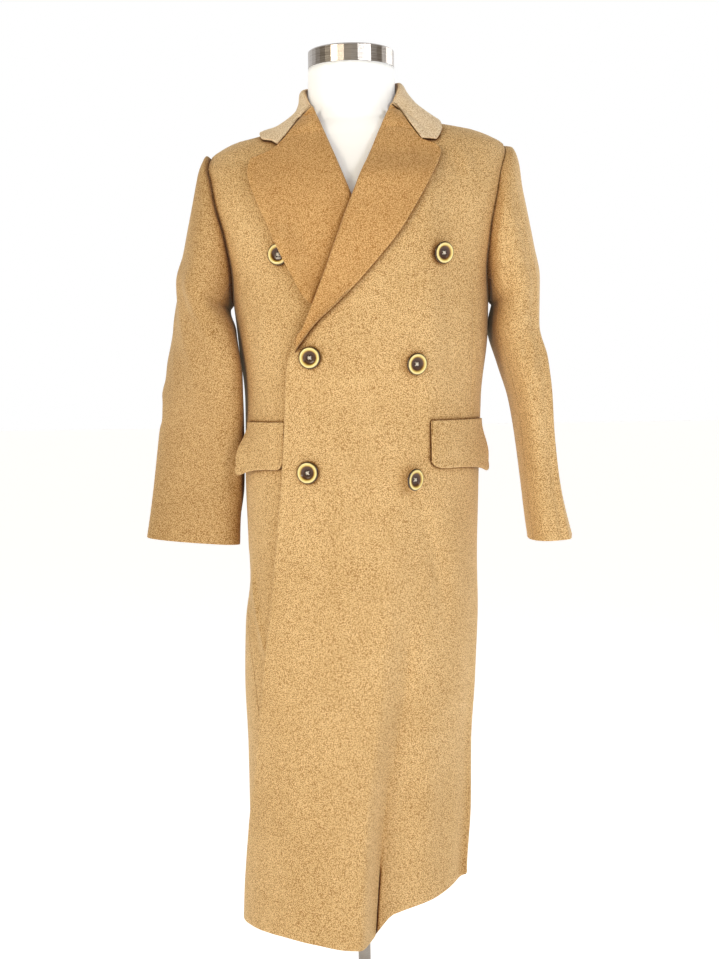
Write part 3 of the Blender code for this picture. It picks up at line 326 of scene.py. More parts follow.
# ---------------------------------------------------------------- the fine shells
CLOTH_SUFFIX = "_cloth"  # each cloth piece is its node's name and this
SEWN_R = 0.0004  # how round a sewn edge is
ROW_STEP = 0.0075  # longest step between rows of points in the fronts and backs
SLEEVE_STEP = 0.12  # longest step down a sleeve, in its own sections
ARMHOLE_GAP = SEAM_GAP + 0.0003  # between a sleeve's first section and the armhole's edge
ARM_METRES_PER_DEGREE = 0.0011  # round a sleeve
GORGE_GAP = 0.0004  # between the lapel's top edge and the middle of the collar's edge, sewn close
LAPEL_EDGE_STAND = {1: 0.0026, -1: 0.0055}  # how much further each lapel's outer edge stands off the chest
OVERLAP_STAND = 0.0036  # how much further the overlap's edge stands off the front under it
LAPEL_HOLLOW = 0.0012  # how much a lapel sinks between its roll and its edge
LAPEL_LIFT = (0.0030, 0.0020)  # how far it stands off the panel, at the roll line and further out
LAPEL_TIP = {1: 0.024, -1: 0.004}  # how far each lapel runs on below the break
TIP_INSET = 0.0060  # there it lies flat, that far inside the front's edge
TIP_LIFT = 0.15  # and close to the panel, by this share of its usual height
LAPEL_COLUMNS = (0.05, 0.14, 0.26, 0.40, 0.55, 0.70, 0.84, 0.94, 1.0)  # shares of the way to the edge
LAPEL_STEP = 0.0105  # longest step up a lapel, as a share of it
LAPEL_FINE, COLLAR_FINE = 0.0022, 0.0028  # longest step across each
COLLAR_STEP = 1.6  # longest step round the collar, in degrees
GORGE_LIFT = (0.0046, 0.0030)  # the collar's front edge off the panel, at the roll line and at the notch
SLEEVE_COLUMNS = {"top": 96, "under": 60}
SLEEVE_RIDGE = (48, 20)  # the angle of a sleeve's outer ridge and its half width
CAP_FADE = 1.5  # its creases come in over this many of its sections
SLEEVE_FOOT = ((0.0015, 0.0010), (0.0065, -0.0050))  # how far out and up the caps' foot starts and ends
ON_BUTTON = 0.0065  # how far the left lapel rides up on the upper left button
OFF_BUTTON = (0.049, 0.014)  # and how far from the button's middle that starts and is whole

# Ridges beside an edge or a line: height, distance from it, and width.
EDGE_RIDGES = [(0.0006, 0.0035, 0.0035), (-0.0003, 0.0100, 0.0022)]
SIDE_LINE_RIDGES = [(-0.0011, 0.0, 0.0014), (0.0005, -0.004, 0.003)]

COLLAR_REACH = (0.070, 0.190)  # the collar's edge is between these distances from the neck's middle
SHOULDER_LOW_Z = 1.290  # and above this height on the coat
STAND_GAP = 0.0014  # between the neck and the collar's stand
STAND_RISE = 0.0016  # from the neckline to the stand's lower edge
FALL_GAP = (0.0028, 0.0036)  # between the coat and the collar's fall, at its edge and elsewhere

# Soft steps, each from where it is 0 to where it is 1.
TIP_OPENS = (BREAK_Z + 0.016, BREAK_Z - 0.004)  # the lapel's fold opens out, going down
TIP_LIFT_V = (0.0, 0.09)  # it lifts off the panel, as a share of the way up
LAPEL_HOLLOW_V = (0.0, 0.3)
LAPEL_LIFT_U = (0.0, 0.8)  # across, from the roll line to the edge
LAPEL_STAND_U = (0.72, 1.0)
LAPEL_STAND_V = (0.0, 0.15)
CORNER_V = (0.70, 1.0)  # its rows of points start to bend round the corner
EASE_STEP = (95, 60)  # towards the front the stand stands off the neck, by azimuth
SAG_EVENS = (95, 180)  # towards the back both sides sag alike
SAG_STEP = (58, 80)  # the fall sags from behind its point on
LEAN_STEP = (1.10, 1.32)  # the height at which the shoulders' lean begins, and where it is whole
FOLD_STEP = (0.0, 0.45)  # the skirt's fold comes in from the side, by the cosine of the turn
FRONT_STEP = (-0.15, 0.15)  # from the back's creases to the front's, also by that cosine
CREASE_END = (0.0, 0.4)  # how much of a crease's run its two ends take up
COVER_EDGE = (0.150, 0.090)  # the right front comes to lie on the left one, across
COVER_TOP = (1.345, 1.295)  # and from its shoulder down
LAPEL_BELOW = [(-0.120, -0.090), (0.135, 0.095)]  # where it also lies on the left lapel, across
LAPEL_BELOW_FROM = (0.985, 1.055)  # and from this height up
LAPEL_BELOW_RISE = 0.0032  # how much more than the lapel itself that lifts it
PLAIN_STEP = (0.80, 1.00)  # above the skirt's fold the columns of points are spread evenly
PLAIN_SHARES = (0.55, 0.85)  # there the fold's own columns lie between these shares of the overlap's width
FRONT_COLUMNS = {1: (34, 24, 10, 36), -1: (60, 30, 20, 6)}  # each front's columns, from knot to knot
NORMAL_TURN = 0.5  # the coat's normal comes from points this many degrees to each side
NORMAL_RISE = 0.002  # and this far above and below
ROLL_STARTS = (BREAK_Z + 0.022, BREAK_Z)  # a front's free edge runs into its roll line
FREE_EDGE = (BREAK_Z - 0.010, BREAK_Z - 0.030)  # the overlap's edge is free from here down
OVERLAP_RISES = (0.040, 0.0)  # how far from its edge the overlap starts to stand off
SIDE_LINE_ENDS = [(0.965, 0.985), (1.175, 1.125)]

# Creases of worn wool, placed as soft ridges, or troughs if the height is negative. Each runs along
# its path of (across, z), and first and last are the shares of its height that are left at its two ends.
Crease = namedtuple("Crease", "width height path first last", defaults=(0, 0))
FRONT_CREASES = rows(Crease, [
    # the left front's turned edge, beside the overlap
    (0.003, 0.0046, [(-0.1487, 0.782), (-0.1474, 0.737), (-0.1418, 0.7),
     (-0.1342, 0.662), (-0.1265, 0.629)], 0.2, 0.3),
    (0.008, -0.0056, [(-0.16, 0.775), (-0.159, 0.737), (-0.154, 0.7),
     (-0.147, 0.662), (-0.139, 0.629)], 0.2, 0.3),
    # the second fold of the skirt, from the lower right button down, with the ridges on its two sides
    (0.013, -0.0042, [(0.071, 0.877), (0.088, 0.836), (0.106, 0.776), (0.116, 0.7), (0.119, 0.64)], 0.3, 0),
    (0.015, 0.0022, [(0.058, 0.8), (0.07, 0.73), (0.078, 0.64), (0.08, 0.56)]),
    (0.012, 0.0016, [(0.118, 0.88), (0.131, 0.827), (0.138, 0.74), (0.139, 0.66)], 0.1, 0),
    # between the middle and lower right buttons
    (0.007, -0.0012, [(0.083, 1.028), (0.079, 0.985), (0.077, 0.915)], 0.3, 0.5),
    (0.008, 0.0008, [(0.098, 1.02), (0.094, 0.975), (0.09, 0.925)], 0, 0.3),
    # drawn between the middle buttons
    (0.009, -0.0012, [(-0.032, 1.04), (-0.007, 1.052), (0.022, 1.058)]),
    (0.008, 0.0008, [(-0.03, 1.062), (0.01, 1.075), (0.05, 1.074)]),
    # from the neck to the right armhole
    (0.0075, -0.0024, [(0.134, 1.348), (0.143, 1.325), (0.149, 1.29)], 0.2, 0),
    (0.007, 0.0016, [(0.15, 1.352), (0.159, 1.33), (0.166, 1.3)], 0.2, 0),
    (0.006, -0.0014, [(0.168, 1.352), (0.176, 1.33), (0.182, 1.305)]),
    # beside the left lapel, and under the left arm
    (0.01, -0.0018, [(-0.158, 1.33), (-0.15, 1.28), (-0.135, 1.225)]),
    (0.009, 0.001, [(-0.126, 1.16), (-0.124, 1.1), (-0.131, 1.04)]),
    (0.008, -0.0012, [(-0.142, 1.15), (-0.143, 1.09), (-0.15, 1.03)]),
    # long soft waves of the skirt
    (0.026, -0.0022, [(-0.07, 0.7), (-0.062, 0.52), (-0.056, 0.25)], 0, 0.4),
    (0.022, 0.002, [(-0.01, 0.64), (-0.014, 0.45), (-0.018, 0.25)], 0, 0.5),
    (0.017, 0.0022, [(0.098, 0.56), (0.088, 0.44), (0.078, 0.3)], 0, 0.4),
    (0.015, -0.002, [(0.122, 0.52), (0.116, 0.42), (0.108, 0.3)], 0, 0.5),
    # the hem's own kinks
    (0.005, -0.0015, [(-0.02, 0.306), (-0.034, 0.29), (-0.064, 0.268)], 0, 0.3),
    (0.0055, 0.001, [(-0.006, 0.3), (-0.022, 0.281), (-0.045, 0.262)], 0, 0.3),
    (0.008, -0.001, [(-0.149, 0.343), (-0.126, 0.338), (-0.103, 0.335)]),
    (0.008, -0.001, [(-0.13, 0.452), (-0.1, 0.44), (-0.078, 0.432)]),
])
BACK_CREASES = rows(Crease, [
    # long folds from the waist to the hem
    (0.022, -0.006, [(-0.052, 0.9), (-0.07, 0.62), (-0.082, 0.25)], 0, 0.8),
    (0.024, 0.0055, [(-0.014, 0.82), (-0.024, 0.56), (-0.03, 0.25)], 0, 0.8),
    (0.02, -0.0048, [(0.026, 0.76), (0.034, 0.5), (0.04, 0.25)], 0, 0.8),
    (0.024, 0.005, [(0.074, 0.88), (0.086, 0.6), (0.094, 0.28)], 0, 0.7),
    (0.018, -0.0036, [(0.118, 0.84), (0.128, 0.62), (0.134, 0.33)], 0, 0.6),
    (0.016, 0.003, [(-0.12, 0.78), (-0.128, 0.56), (-0.134, 0.28)], 0, 0.5),
    # across the waist and below the shoulder blades
    (0.01, -0.0022, [(-0.15, 1.075), (-0.105, 1.05), (-0.06, 1.046)]),
    (0.009, -0.0018, [(0.155, 1.06), (0.112, 1.032), (0.066, 1.03)]),
    (0.011, 0.0016, [(-0.14, 1.048), (-0.1, 1.022), (-0.05, 1.016)]),
    (0.014, -0.003, [(-0.168, 1.29), (-0.146, 1.22), (-0.134, 1.13)]),
    (0.015, -0.0032, [(0.172, 1.3), (0.152, 1.22), (0.142, 1.12)]),
    (0.012, 0.0018, [(-0.138, 1.31), (-0.118, 1.24), (-0.11, 1.16)]),
    (0.012, 0.0018, [(0.142, 1.31), (0.124, 1.24), (0.116, 1.15)]),
    (0.01, -0.0016, [(-0.05, 1.345), (0.0, 1.338), (0.052, 1.346)]),
])
# On a sleeve, across is the angle round the arm, from straight outwards, as metres: positive forwards.
RIGHT_SLEEVE_CREASES = rows(Crease, [
    # the pressed front crease that runs the sleeve's whole length, and a second one beside it at the top
    (0.0042, 0.002, [(0.052, 1.33), (0.054, 1.15), (0.056, 1.0), (0.058, 0.8)], 0.3, 1),
    (0.006, -0.001, [(0.063, 1.32), (0.066, 1.15), (0.069, 1.0), (0.07, 0.8)], 0.3, 0.8),
    (0.004, 0.0012, [(0.04, 1.3), (0.043, 1.23), (0.048, 1.15)]),
    # breaks at the inside of the elbow, and drag lines under the cap
    (0.01, -0.004, [(0.08, 1.09), (0.098, 1.062), (0.112, 1.05)]),
    (0.009, 0.0024, [(0.078, 1.062), (0.096, 1.036), (0.11, 1.026)]),
    (0.009, -0.003, [(0.084, 1.03), (0.1, 1.006), (0.116, 1.0)]),
    (0.01, -0.0026, [(0.086, 1.24), (0.104, 1.2), (0.114, 1.16)]),
    (0.011, -0.003, [(-0.1, 1.06), (-0.07, 1.03), (-0.045, 1.024)]),
    (0.01, 0.0022, [(-0.096, 1.026), (-0.066, 1.0), (-0.042, 0.994)]),
    (0.01, -0.0024, [(-0.094, 0.992), (-0.072, 0.968), (-0.05, 0.962)]),
    (0.013, -0.0022, [(-0.06, 1.27), (-0.08, 1.2), (-0.096, 1.12)]),
    (0.005, 0.0012, [(0.074, 0.86), (0.078, 0.83), (0.082, 0.797)], 0, 0.6),
])
LEFT_SLEEVE_CREASES = rows(Crease, [
    # the long soft trough down the front of the sleeve and the ridge behind it
    (0.013, -0.003, [(0.044, 1.23), (0.046, 1.15), (0.05, 1.08), (0.052, 1.0)]),
    (0.01, 0.002, [(0.02, 1.3), (0.02, 1.18), (0.022, 1.06), (0.024, 0.94)]),
    (0.011, 0.0022, [(0.072, 1.16), (0.076, 1.08), (0.078, 0.98)]),
    (0.01, -0.0022, [(0.09, 1.07), (0.074, 1.038), (0.06, 1.03)]),
    (0.009, 0.0016, [(0.094, 1.044), (0.078, 1.012), (0.062, 1.004)]),
    (0.012, -0.0016, [(0.066, 0.96), (0.068, 0.9), (0.066, 0.85)]),
    (0.011, 0.0014, [(0.04, 0.9), (0.042, 0.85), (0.044, 0.8)], 0, 0.2),
    (0.011, -0.003, [(-0.1, 1.07), (-0.07, 1.044), (-0.045, 1.036)]),
    (0.01, 0.0022, [(-0.098, 1.036), (-0.068, 1.01), (-0.042, 1.004)]),
    (0.01, -0.0026, [(-0.098, 1.0), (-0.076, 0.976), (-0.052, 0.97)]),
    (0.013, -0.0022, [(-0.06, 1.27), (-0.08, 1.2), (-0.096, 1.12)]),
    (0.004, 0.001, [(-0.012, 1.23), (-0.014, 1.12), (-0.018, 1.0)], 0.2, 0),
])
# The sewn line down the side of the right front, above its pocket.
SIDE_PANEL_LINE = rows(Edge, [(0.96, 0.16), (1.03, 0.163), (1.1, 0.165), (1.18, 0.166)])
LINE_COLUMNS = np.array([-1.5, -0.9, -0.45, 0.0, 0.45, 0.9])  # extra columns beside it, in degrees

# ---------------------------------------------------------------- buttons, colours and light
BUTTON_TOP = 0.005  # the height of a button's rim over its own origin
BUTTON_R = 0.01525
# From the middle of the dish out over the rim and back in underneath.
BUTTON_OUTLINE = [
    (0.006, 0.0022),
    (0.0078, 0.0026),
    (0.0096, 0.0042),
    (0.0114, 0.005),
    (0.0134, 0.0048),
    (0.0148, 0.0038),
    (0.0152, 0.0028),
    (0.0144, 0.0016),
    (0.012, 0.0008),
    (0.006, 0.0),
]
BUTTON_STEP = 0.34  # longest step along that outline, as a share of one of its own
BUTTON_SIDES = 72
DRILL_L = 0.02  # longer than a button is thick
RING_SCALE = 0.90  # how far out the horn's tones reach, as a share of the button
HOLE_RING = 0.003
HOLE_R = 0.00115
THREAD_R = 0.00058
STITCH_RISE = 0.0007  # how far a strand rises from the button's face
STITCH_CROSSING = 0.0004  # and how much further, where it crosses the other pair
STITCH_DIVE = 0.0022  # how far it goes down into its holes
SHANK_INTO_CLOTH = 0.002
SHANK_INTO_BUTTON = 0.0004
SHANK_R = 0.0018
COIL_R, COIL_THREAD_R, COIL_TURNS = 0.0019, 0.00045, 5.5  # the thread wound round the shank
COIL_BELOW = 0.0002  # how far under the button it starts
BUTTON_ROWS = ("upper", "middle", "lower")
UPPER_LEFT_BUTTON = Point(-0.102, 1.203)

# Wool in shadow between its fibres, in the middle, and at the fibres' tips.
BODY_WOOL = ((0.37, 0.21, 0.075), (0.64, 0.42, 0.188), (0.87, 0.66, 0.365))
# The lapels' wool is a darker, redder copy of the body's: painted shade.
LAPEL_PAINTED_SHADE_WOOL = ((0.37, 0.185, 0.055), (0.58, 0.335, 0.128), (0.78, 0.53, 0.25))
# The left sleeve's wool, darker still: painted shade for the sleeve that the light reaches less.
LEFT_SLEEVE_PAINTED_SHADE_WOOL = ((0.3, 0.165, 0.056), (0.53, 0.33, 0.138), (0.72, 0.52, 0.27))
# The collar's wool is a paler, lighter copy: a painted highlight for the light its fall catches at a
# grazing angle.
COLLAR_PAINTED_LIGHT_WOOL = ((0.58, 0.42, 0.25), (0.8, 0.64, 0.43), (0.95, 0.84, 0.66))

Light = namedtuple("Light", "name at aim size watts colour")
LIGHTS = rows(Light, [
    ("left", (-2.0, -2.4, 2.1), (0, 0, 0.75), 0.9, 35, (1.0, 0.9, 0.72)),
    ("right", (1.9, -2.4, 2.2), (0, 0, 1.05), 0.9, 29, (0.95, 0.97, 1.0)),
    ("front", (0.0, -3.6, 0.9), (0, 0, 0.7), 1.8, 16, (1.0, 0.93, 0.82)),
    ("rim", (2.4, 1.4, 1.9), (0, 0, 1.0), 1.6, 16, (1.0, 1.0, 1.0)),
])
# Painted shade in folds and recesses: light that bounces in a crease passes through the nap again and
# again, so it comes out darker and redder, and the colour is darkened there to stand in for it.
WOOL_PAINTED_FOLD_SHADE = [(0.3, (0.66, 0.52, 0.37)), (0.72, (0.88, 0.81, 0.71)), (0.97, (1.0, 1.0, 1.0))]
# Painted shade in narrow gaps, at seams and under raised edges, as a dark line.
WOOL_PAINTED_GAP_SHADE = [(0.44, (0.17, 0.075, 0.03)), (0.6, (0.62, 0.47, 0.34)), (0.82, (1.0, 1.0, 1.0))]
WORLD_LIGHT = 1.0
# The studio's own light by direction: white walls behind the coat, and a dim room behind the camera.
WORLD_STOPS = [(0.0, (0.14, 0.11, 0.07)), (0.5, (0.2, 0.16, 0.11)), (0.8, (1.0, 1.0, 1.0))]
SHARP_ANGLE = math.radians(50)  # edges of a button that are sharper than this stay crisp
FLOOR_GLOW = 0.6
FLOOR_HALF = 30

# The cut of what shows of each cloth piece: its width and length, and the flat area of its true outline.
Cut = namedtuple("Cut", "width length area rests_on held", defaults=("form_body", "hung"))


# ---------------------------------------------------------------- reading the tables
def curve(keys, values, at, tight=True):
    """A smooth curve through values at keys, read at `at`. A tight one stays between its neighbours."""
    keys, values = np.asarray(keys, float), np.asarray(values, float)
    at = np.clip(np.asarray(at, float), keys[0], keys[-1])
    wide = (-1,) + (1,) * (values.ndim - 1)
    gaps = np.diff(keys).reshape(wide)
    if tight:
        rates = np.diff(values, axis=0) / gaps
        product, total = rates[:-1] * rates[1:], rates[:-1] + rates[1:]
        between = np.where(product > 0, 2 * product / np.where(total == 0, 1, total), 0.0)
        slopes = np.concatenate([rates[:1], between, rates[-1:]])
    else:
        slopes = np.gradient(values, keys, axis=0)
    i = np.clip(np.searchsorted(keys, at, side="right") - 1, 0, len(keys) - 2)
    gap = gaps[i].reshape(at.shape + (1,) * (values.ndim - 1))
    t = (at - keys[i]).reshape(gap.shape) / gap
    return (
        values[i] * (1 + 2 * t) * (1 - t) ** 2
        + slopes[i] * gap * t * (1 - t) ** 2
        + values[i + 1] * t * t * (3 - 2 * t)
        - slopes[i + 1] * gap * t * t * (1 - t)
    )


def read(table, key, value, at):
    """One column of a table at `at`."""
    return curve([getattr(row, key) for row in table], [getattr(row, value) for row in table], at)


def read_row(table, key, at):
    """A whole row of a table at `at`, in which each column is an array."""
    kind = type(table[0])
    others = {name: read(table, key, name, at) for name in kind._fields if name != key}
    return kind(**others, **{key: np.asarray(at, float)})


def ease(t):
    """0 to 1 with soft ends."""
    t = np.clip(t, 0.0, 1.0)
    return t * t * (3 - 2 * t)


def soft(value, step):
    """A soft rise from 0 where the value is at the step's first end to 1 at its second."""
    return ease((value - step[0]) / (step[1] - step[0]))


def mix(a, b, t):
    return a + (b - a) * t


def hump(distance, width):
    """1 at no distance, and next to nothing at twice the width."""
    return np.exp(-((distance / width) ** 2))


def signed_power(value, power):
    return np.sign(value) * np.abs(value) ** power


def unit(vectors):
    return vectors / np.maximum(np.linalg.norm(vectors, axis=-1, keepdims=True), 1e-12)


# ---------------------------------------------------------------- creases
def crease_relief(creases, u, z):
    """How far the creases raise the cloth at (u, z), where u runs across and z up."""
    raised = np.zeros(np.broadcast(u, z).shape)
    for crease in creases:
        path = np.array(crease.path)
        ends = np.linspace(0, len(path) - 1, 4 * len(path) + 1)
        path = curve(range(len(path)), path, ends, tight=False) if len(path) > 2 else path
        lengths = np.linalg.norm(np.diff(path, axis=0), axis=1)
        run = np.concatenate([[0.0], np.cumsum(lengths)]) / lengths.sum()
        nearest, share = np.full(raised.shape, 1e9), np.zeros(raised.shape)
        for a, b, start, end in zip(path, path[1:], run, run[1:]):
            step = b - a
            t = np.clip(((u - a[0]) * step[0] + (z - a[1]) * step[1]) / (step @ step), 0, 1)
            away = np.hypot(u - a[0] - t * step[0], z - a[1] - t * step[1])
            closer = away < nearest
            nearest = np.where(closer, away, nearest)
            share = np.where(closer, mix(start, end, t), share)
        first = mix(crease.first, 1, soft(share, CREASE_END))
        last = mix(crease.last, 1, soft(1 - share, CREASE_END))
        raised += crease.height * first * last * hump(nearest, crease.width)
    return raised


def ridges(distance, table):
    return sum(height * hump(distance - at, width) for height, at, width in table)


# ---------------------------------------------------------------- the coat's surface
def lean(x, z):
    """How far the uneven shoulders lift a point."""
    across = np.minimum(1.0, np.abs(x) / SHOULDER_REACH)
    dip = np.where(x > 0, SHOULDER_DIP[1], SHOULDER_DIP[-1]) * 16 * (across * (1 - across)) ** 2
    return (np.where(x > 0, SHOULDER_LEAN[1], SHOULDER_LEAN[-1]) * x - dip) * soft(z, LEAN_STEP)


def fold_offset(x, z):
    """How far back the deep fold sets the front of the skirt at x."""
    fold = read_row(SKIRT_FOLD, "z", z)
    return fold.depth * ease((x - fold.x) / (2 * fold.half_width) + 0.5)


def body_point(turn, z):
    """A point of the smooth coat at a turn in degrees from the middle of the front, positive towards +X."""
    turn, z = np.broadcast_arrays(np.asarray(turn, float), np.asarray(z, float))
    section = read_row(COAT, "z", z)
    sine, cosine = np.sin(np.radians(turn)), np.cos(np.radians(turn))
    x = section.centre + section.half_width * signed_power(sine, 2 / section.power)
    y = -np.where(cosine > 0, section.front, section.back) * signed_power(cosine, 2 / section.power)
    y = y + fold_offset(x, z) * soft(cosine, FOLD_STEP)
    return np.stack([x, y, z + lean(x, z)], axis=-1)


def turn_at_x(x, z):
    section = read_row(COAT, "z", z)
    share = np.clip((x - section.centre) / section.half_width, -1.0, 1.0)
    return np.degrees(np.arcsin(signed_power(share, section.power / 2)))


def turn_at_depth(y, z, side):
    section = read_row(COAT, "z", z)
    share = np.minimum(1.0, np.abs(y) / np.where(y < 0, section.front, section.back))
    turn = np.degrees(np.arccos(share ** (section.power / 2)))
    return side * np.where(y < 0, turn, 180 - turn)


def worn(turn, point):
    """How far wear and hanging raise the cloth, off the smooth coat."""
    x, z = point[..., 0], point[..., 2]
    ahead = soft(np.cos(np.radians(turn)), FRONT_STEP)
    return ahead * crease_relief(FRONT_CREASES, x, z) + (1 - ahead) * crease_relief(BACK_CREASES, x, z)


def coat_point(turn, z, out=0.0):
    """A point of the worn coat, moved `out` along the smooth coat's normal."""
    point = body_point(turn, z)
    round_coat = body_point(turn + NORMAL_TURN, z) - body_point(turn - NORMAL_TURN, z)
    up_coat = body_point(turn, z + NORMAL_RISE) - body_point(turn, z - NORMAL_RISE)
    normal = unit(np.cross(round_coat, up_coat))
    return point + (out + worn(turn, point))[..., None] * normal


def front_point(x, z, out):
    return coat_point(turn_at_x(x, z), z, out)


def hem_level(turn, level):
    """A row's level, lifted near the hem as the hem rises."""
    share = 1 - ease((level - HEM_Z) / (HEM_RISE_ENDS_Z - HEM_Z))
    return level + read(HEM, "turn", "rise", (turn + 180) % 360 - 180) * share


# ---------------------------------------------------------------- building shells
def add_object(name, data):
    made = bpy.data.objects.new(name, data)
    bpy.context.scene.collection.objects.link(made)
    return made


def turn_to(made, place, facing, axis, up):
    """Puts an object in its place with one of its own axes facing a direction."""
    made.location = place
    made.rotation_mode = "QUATERNION"
    made.rotation_quaternion = Vector(facing).to_track_quat(axis, up)


def shell(name, outer, inner, free, finish):
    """A closed thin shell between two grids of points. free tells whether an edge is free, and so round, or
    sewn, and so ends just short of the seam: for the first row, last column, last row and first column."""
    outer, inner = outer.copy(), inner.copy()
    half = np.linalg.norm(outer - inner, axis=-1).mean() / 2
    edges = [
        (free[0], (0, slice(None)), (1, slice(None))),
        (free[1], (slice(None), -1), (slice(None), -2)),
        (free[2], (-1, slice(None)), (-2, slice(None))),
        (free[3], (slice(None), 0), (slice(None), 1)),
    ]
    beyond = np.zeros(outer.shape)
    radius = np.full(outer.shape[:2], half)
    for is_free, edge, beside in edges:
        outwards = unit(outer[edge] - outer[beside])
        beyond[edge] += outwards
        inset = half if is_free else SEWN_R + SEAM_GAP / 2
        for grid in (outer, inner):
            grid[edge] -= inset * outwards
        if not is_free:
            radius[edge] = SEWN_R
    index = np.arange(radius.size).reshape(radius.shape)
    rim = np.concatenate([index[0, :-1], index[:-1, -1], index[-1, :0:-1], index[:0:-1, 0]])
    outer, inner = outer.reshape(-1, 3), inner.reshape(-1, 3)
    middle, across = (outer[rim] + inner[rim]) / 2, (outer[rim] - inner[rim]) / 2
    reach = unit(beyond.reshape(-1, 3)[rim]) * radius.reshape(-1)[rim, None]
    angles = np.radians([30, 60, 90, 120, 150])
    loops = [middle + across * math.cos(a) + reach * math.sin(a) for a in angles]

    corners = [index[:-1, :-1], index[:-1, 1:], index[1:, 1:], index[1:, :-1]]
    quads = np.stack(corners, axis=-1).reshape(-1, 4)
    layer, around = index.size, np.arange(len(rim))
    rings = [rim] + [2 * layer + k * len(rim) + around for k in range(len(loops))] + [rim + layer]
    sides = [np.stack([np.roll(a, -1), a, b, np.roll(b, -1)], axis=-1) for a, b in zip(rings, rings[1:])]
    faces = np.concatenate([quads, quads[:, ::-1] + layer] + sides)
    mesh = bpy.data.meshes.new(name)
    mesh.from_pydata(np.concatenate([outer, inner] + loops).tolist(), [], faces.tolist())
    return add_piece(name, mesh, finish)


def add_piece(name, mesh, finish):
    """A cloth piece, named for its node, with all its faces turned outwards and shaded smooth."""
    work = bmesh.new()
    work.from_mesh(mesh)
    bmesh.ops.recalc_face_normals(work, faces=work.faces)
    work.to_mesh(mesh)
    work.free()
    mesh.materials.append(finish)
    mesh.shade_smooth()
    return add_object(name + CLOTH_SUFFIX, mesh)


def walled(outer, thickness, side=1):
    """The grid and its inner skin, a thickness behind it along the grid's own normals."""
    round_grid, up_grid = np.gradient(outer, axis=1), np.gradient(outer, axis=0)
    return outer, outer - side * thickness * unit(np.cross(round_grid, up_grid))


def fine_steps(values, longest):
    """The values with even steps between them, none longer than that."""
    values = np.asarray(values, float)
    finer = [values[:1]]
    for low, high in zip(values, values[1:]):
        count = max(1, math.ceil(abs(high - low) / longest))
        finer.append(np.linspace(low, high, count + 1)[1:])
    return np.concatenate(finer)


def spread(knots, counts):
    """Columns from the first knot to the last, with `counts` even steps between the knots."""
    columns = [knots[0]]
    for low, high, count in zip(knots, knots[1:], counts):
        columns += [mix(low, high, (k + 1) / count) for k in range(count)]
    return np.stack(columns, axis=-1)


# ---------------------------------------------------------------- fronts and backs
def armhole_reach(z):
    middle = (UNDERARM_Z + SHOULDER_TIP_Z) / 2
    share = (z - middle) / (SHOULDER_TIP_Z - UNDERARM_Z) * 2
    return np.sqrt(np.maximum(0.0, 1 - share * share))


def outer_turn(z, side, seam, front):
    """Where a panel ends at its side: at the side seam, then the armhole, then the shoulder seam."""
    reach = (-ARMHOLE_FRONT if front else ARMHOLE_BACK) * armhole_reach(z)
    at_armhole = np.where(np.abs(reach) > 1e-9, turn_at_depth(reach, z, side), 90.0 * side)
    beside = np.where(z < seam[-1].z, read(seam, "z", "turn", z), 90.0 * side)
    return np.where(z < UNDERARM_Z, beside, np.where(z > SHOULDER_TIP_Z, 90.0 * side, at_armhole))


def roll_x(z, side):
    return mix(ROLL_BREAK_X[side], ROLL_TOP_X[side], (z - BREAK_Z) / (NECKLINE_Z - BREAK_Z))


def front_edge_x(z, side):
    edge = OVERLAP_EDGE if side > 0 else UNDERLAP_EDGE
    above = roll_x(z, side) + (edge[-1].x - ROLL_BREAK_X[side]) * soft(z, ROLL_STARTS)
    return np.where(z < BREAK_Z, read(edge, "z", "x", z), above)


def cover(x, z):
    """How far out the overlapping front lies, over the other front and over that front's lapel."""
    over_front = (CLOTH + LAYER_GAP) * soft(x, COVER_EDGE)
    over_lapel = soft(x, LAPEL_BELOW[0]) * soft(x, LAPEL_BELOW[1]) * soft(z, LAPEL_BELOW_FROM)
    return (over_front + (FOLDED + LAPEL_BELOW_RISE) * over_lapel) * soft(z, COVER_TOP)


def front_turns(level, side, seam):
    """The columns of a front at each level: close together in the deep fold, and wider apart elsewhere."""
    end = outer_turn(level, side, seam, True)
    over = turn_at_x(front_edge_x(level, 1), level)
    under = turn_at_x(front_edge_x(level, -1), level)
    fold = read_row(SKIRT_FOLD, "z", level)
    low, high = turn_at_x(fold.x - fold.half_width, level), turn_at_x(fold.x + fold.half_width, level)
    plain = soft(level, PLAIN_STEP)
    low = mix(low, mix(over, under, PLAIN_SHARES[0]), plain)
    high = np.minimum(mix(high, mix(over, under, PLAIN_SHARES[1]), plain), under - 2)
    low = np.minimum(low, high - 4)
    shared = ease((under - over) / 25)[:, None]
    if side > 0:
        knots, counts = [over, low, high, under, end], FRONT_COLUMNS[1]
    else:
        knots, counts = [end, np.maximum(over, end + 4), low, high, under], FRONT_COLUMNS[-1]
    even = spread([knots[0], knots[-1]], [sum(counts)])
    return mix(even, spread(knots, counts), shared)


def front_panel(name, side, seam, finish):
    levels = fine_steps(ALL_LEVELS, ROW_STEP)
    turns = front_turns(levels, side, seam)
    if side > 0:
        line = read(SIDE_PANEL_LINE, "z", "x", levels)[:, None]
        middle = turn_at_x(line, levels[:, None])
        turns = np.sort(np.concatenate([turns, middle + LINE_COLUMNS], axis=1), axis=1)
    z = hem_level(turns, levels[:, None])
    x = body_point(turns, z)[..., 0]
    out = np.zeros(z.shape)
    if side > 0:
        inside = x - front_edge_x(z, side)
        raised = ridges(inside, EDGE_RIDGES) + OVERLAP_STAND * soft(inside, OVERLAP_RISES)
        out += cover(x, z) + raised * soft(z, FREE_EDGE)
        shown = soft(z, SIDE_LINE_ENDS[0]) * soft(z, SIDE_LINE_ENDS[1])
        out += shown * ridges(x - read(SIDE_PANEL_LINE, "z", "x", z), SIDE_LINE_RIDGES)
    outer, inner = coat_point(turns, z, out), coat_point(turns, z, out - CLOTH)
    return shell(name, outer, inner, (True, side < 0, False, side > 0), finish)


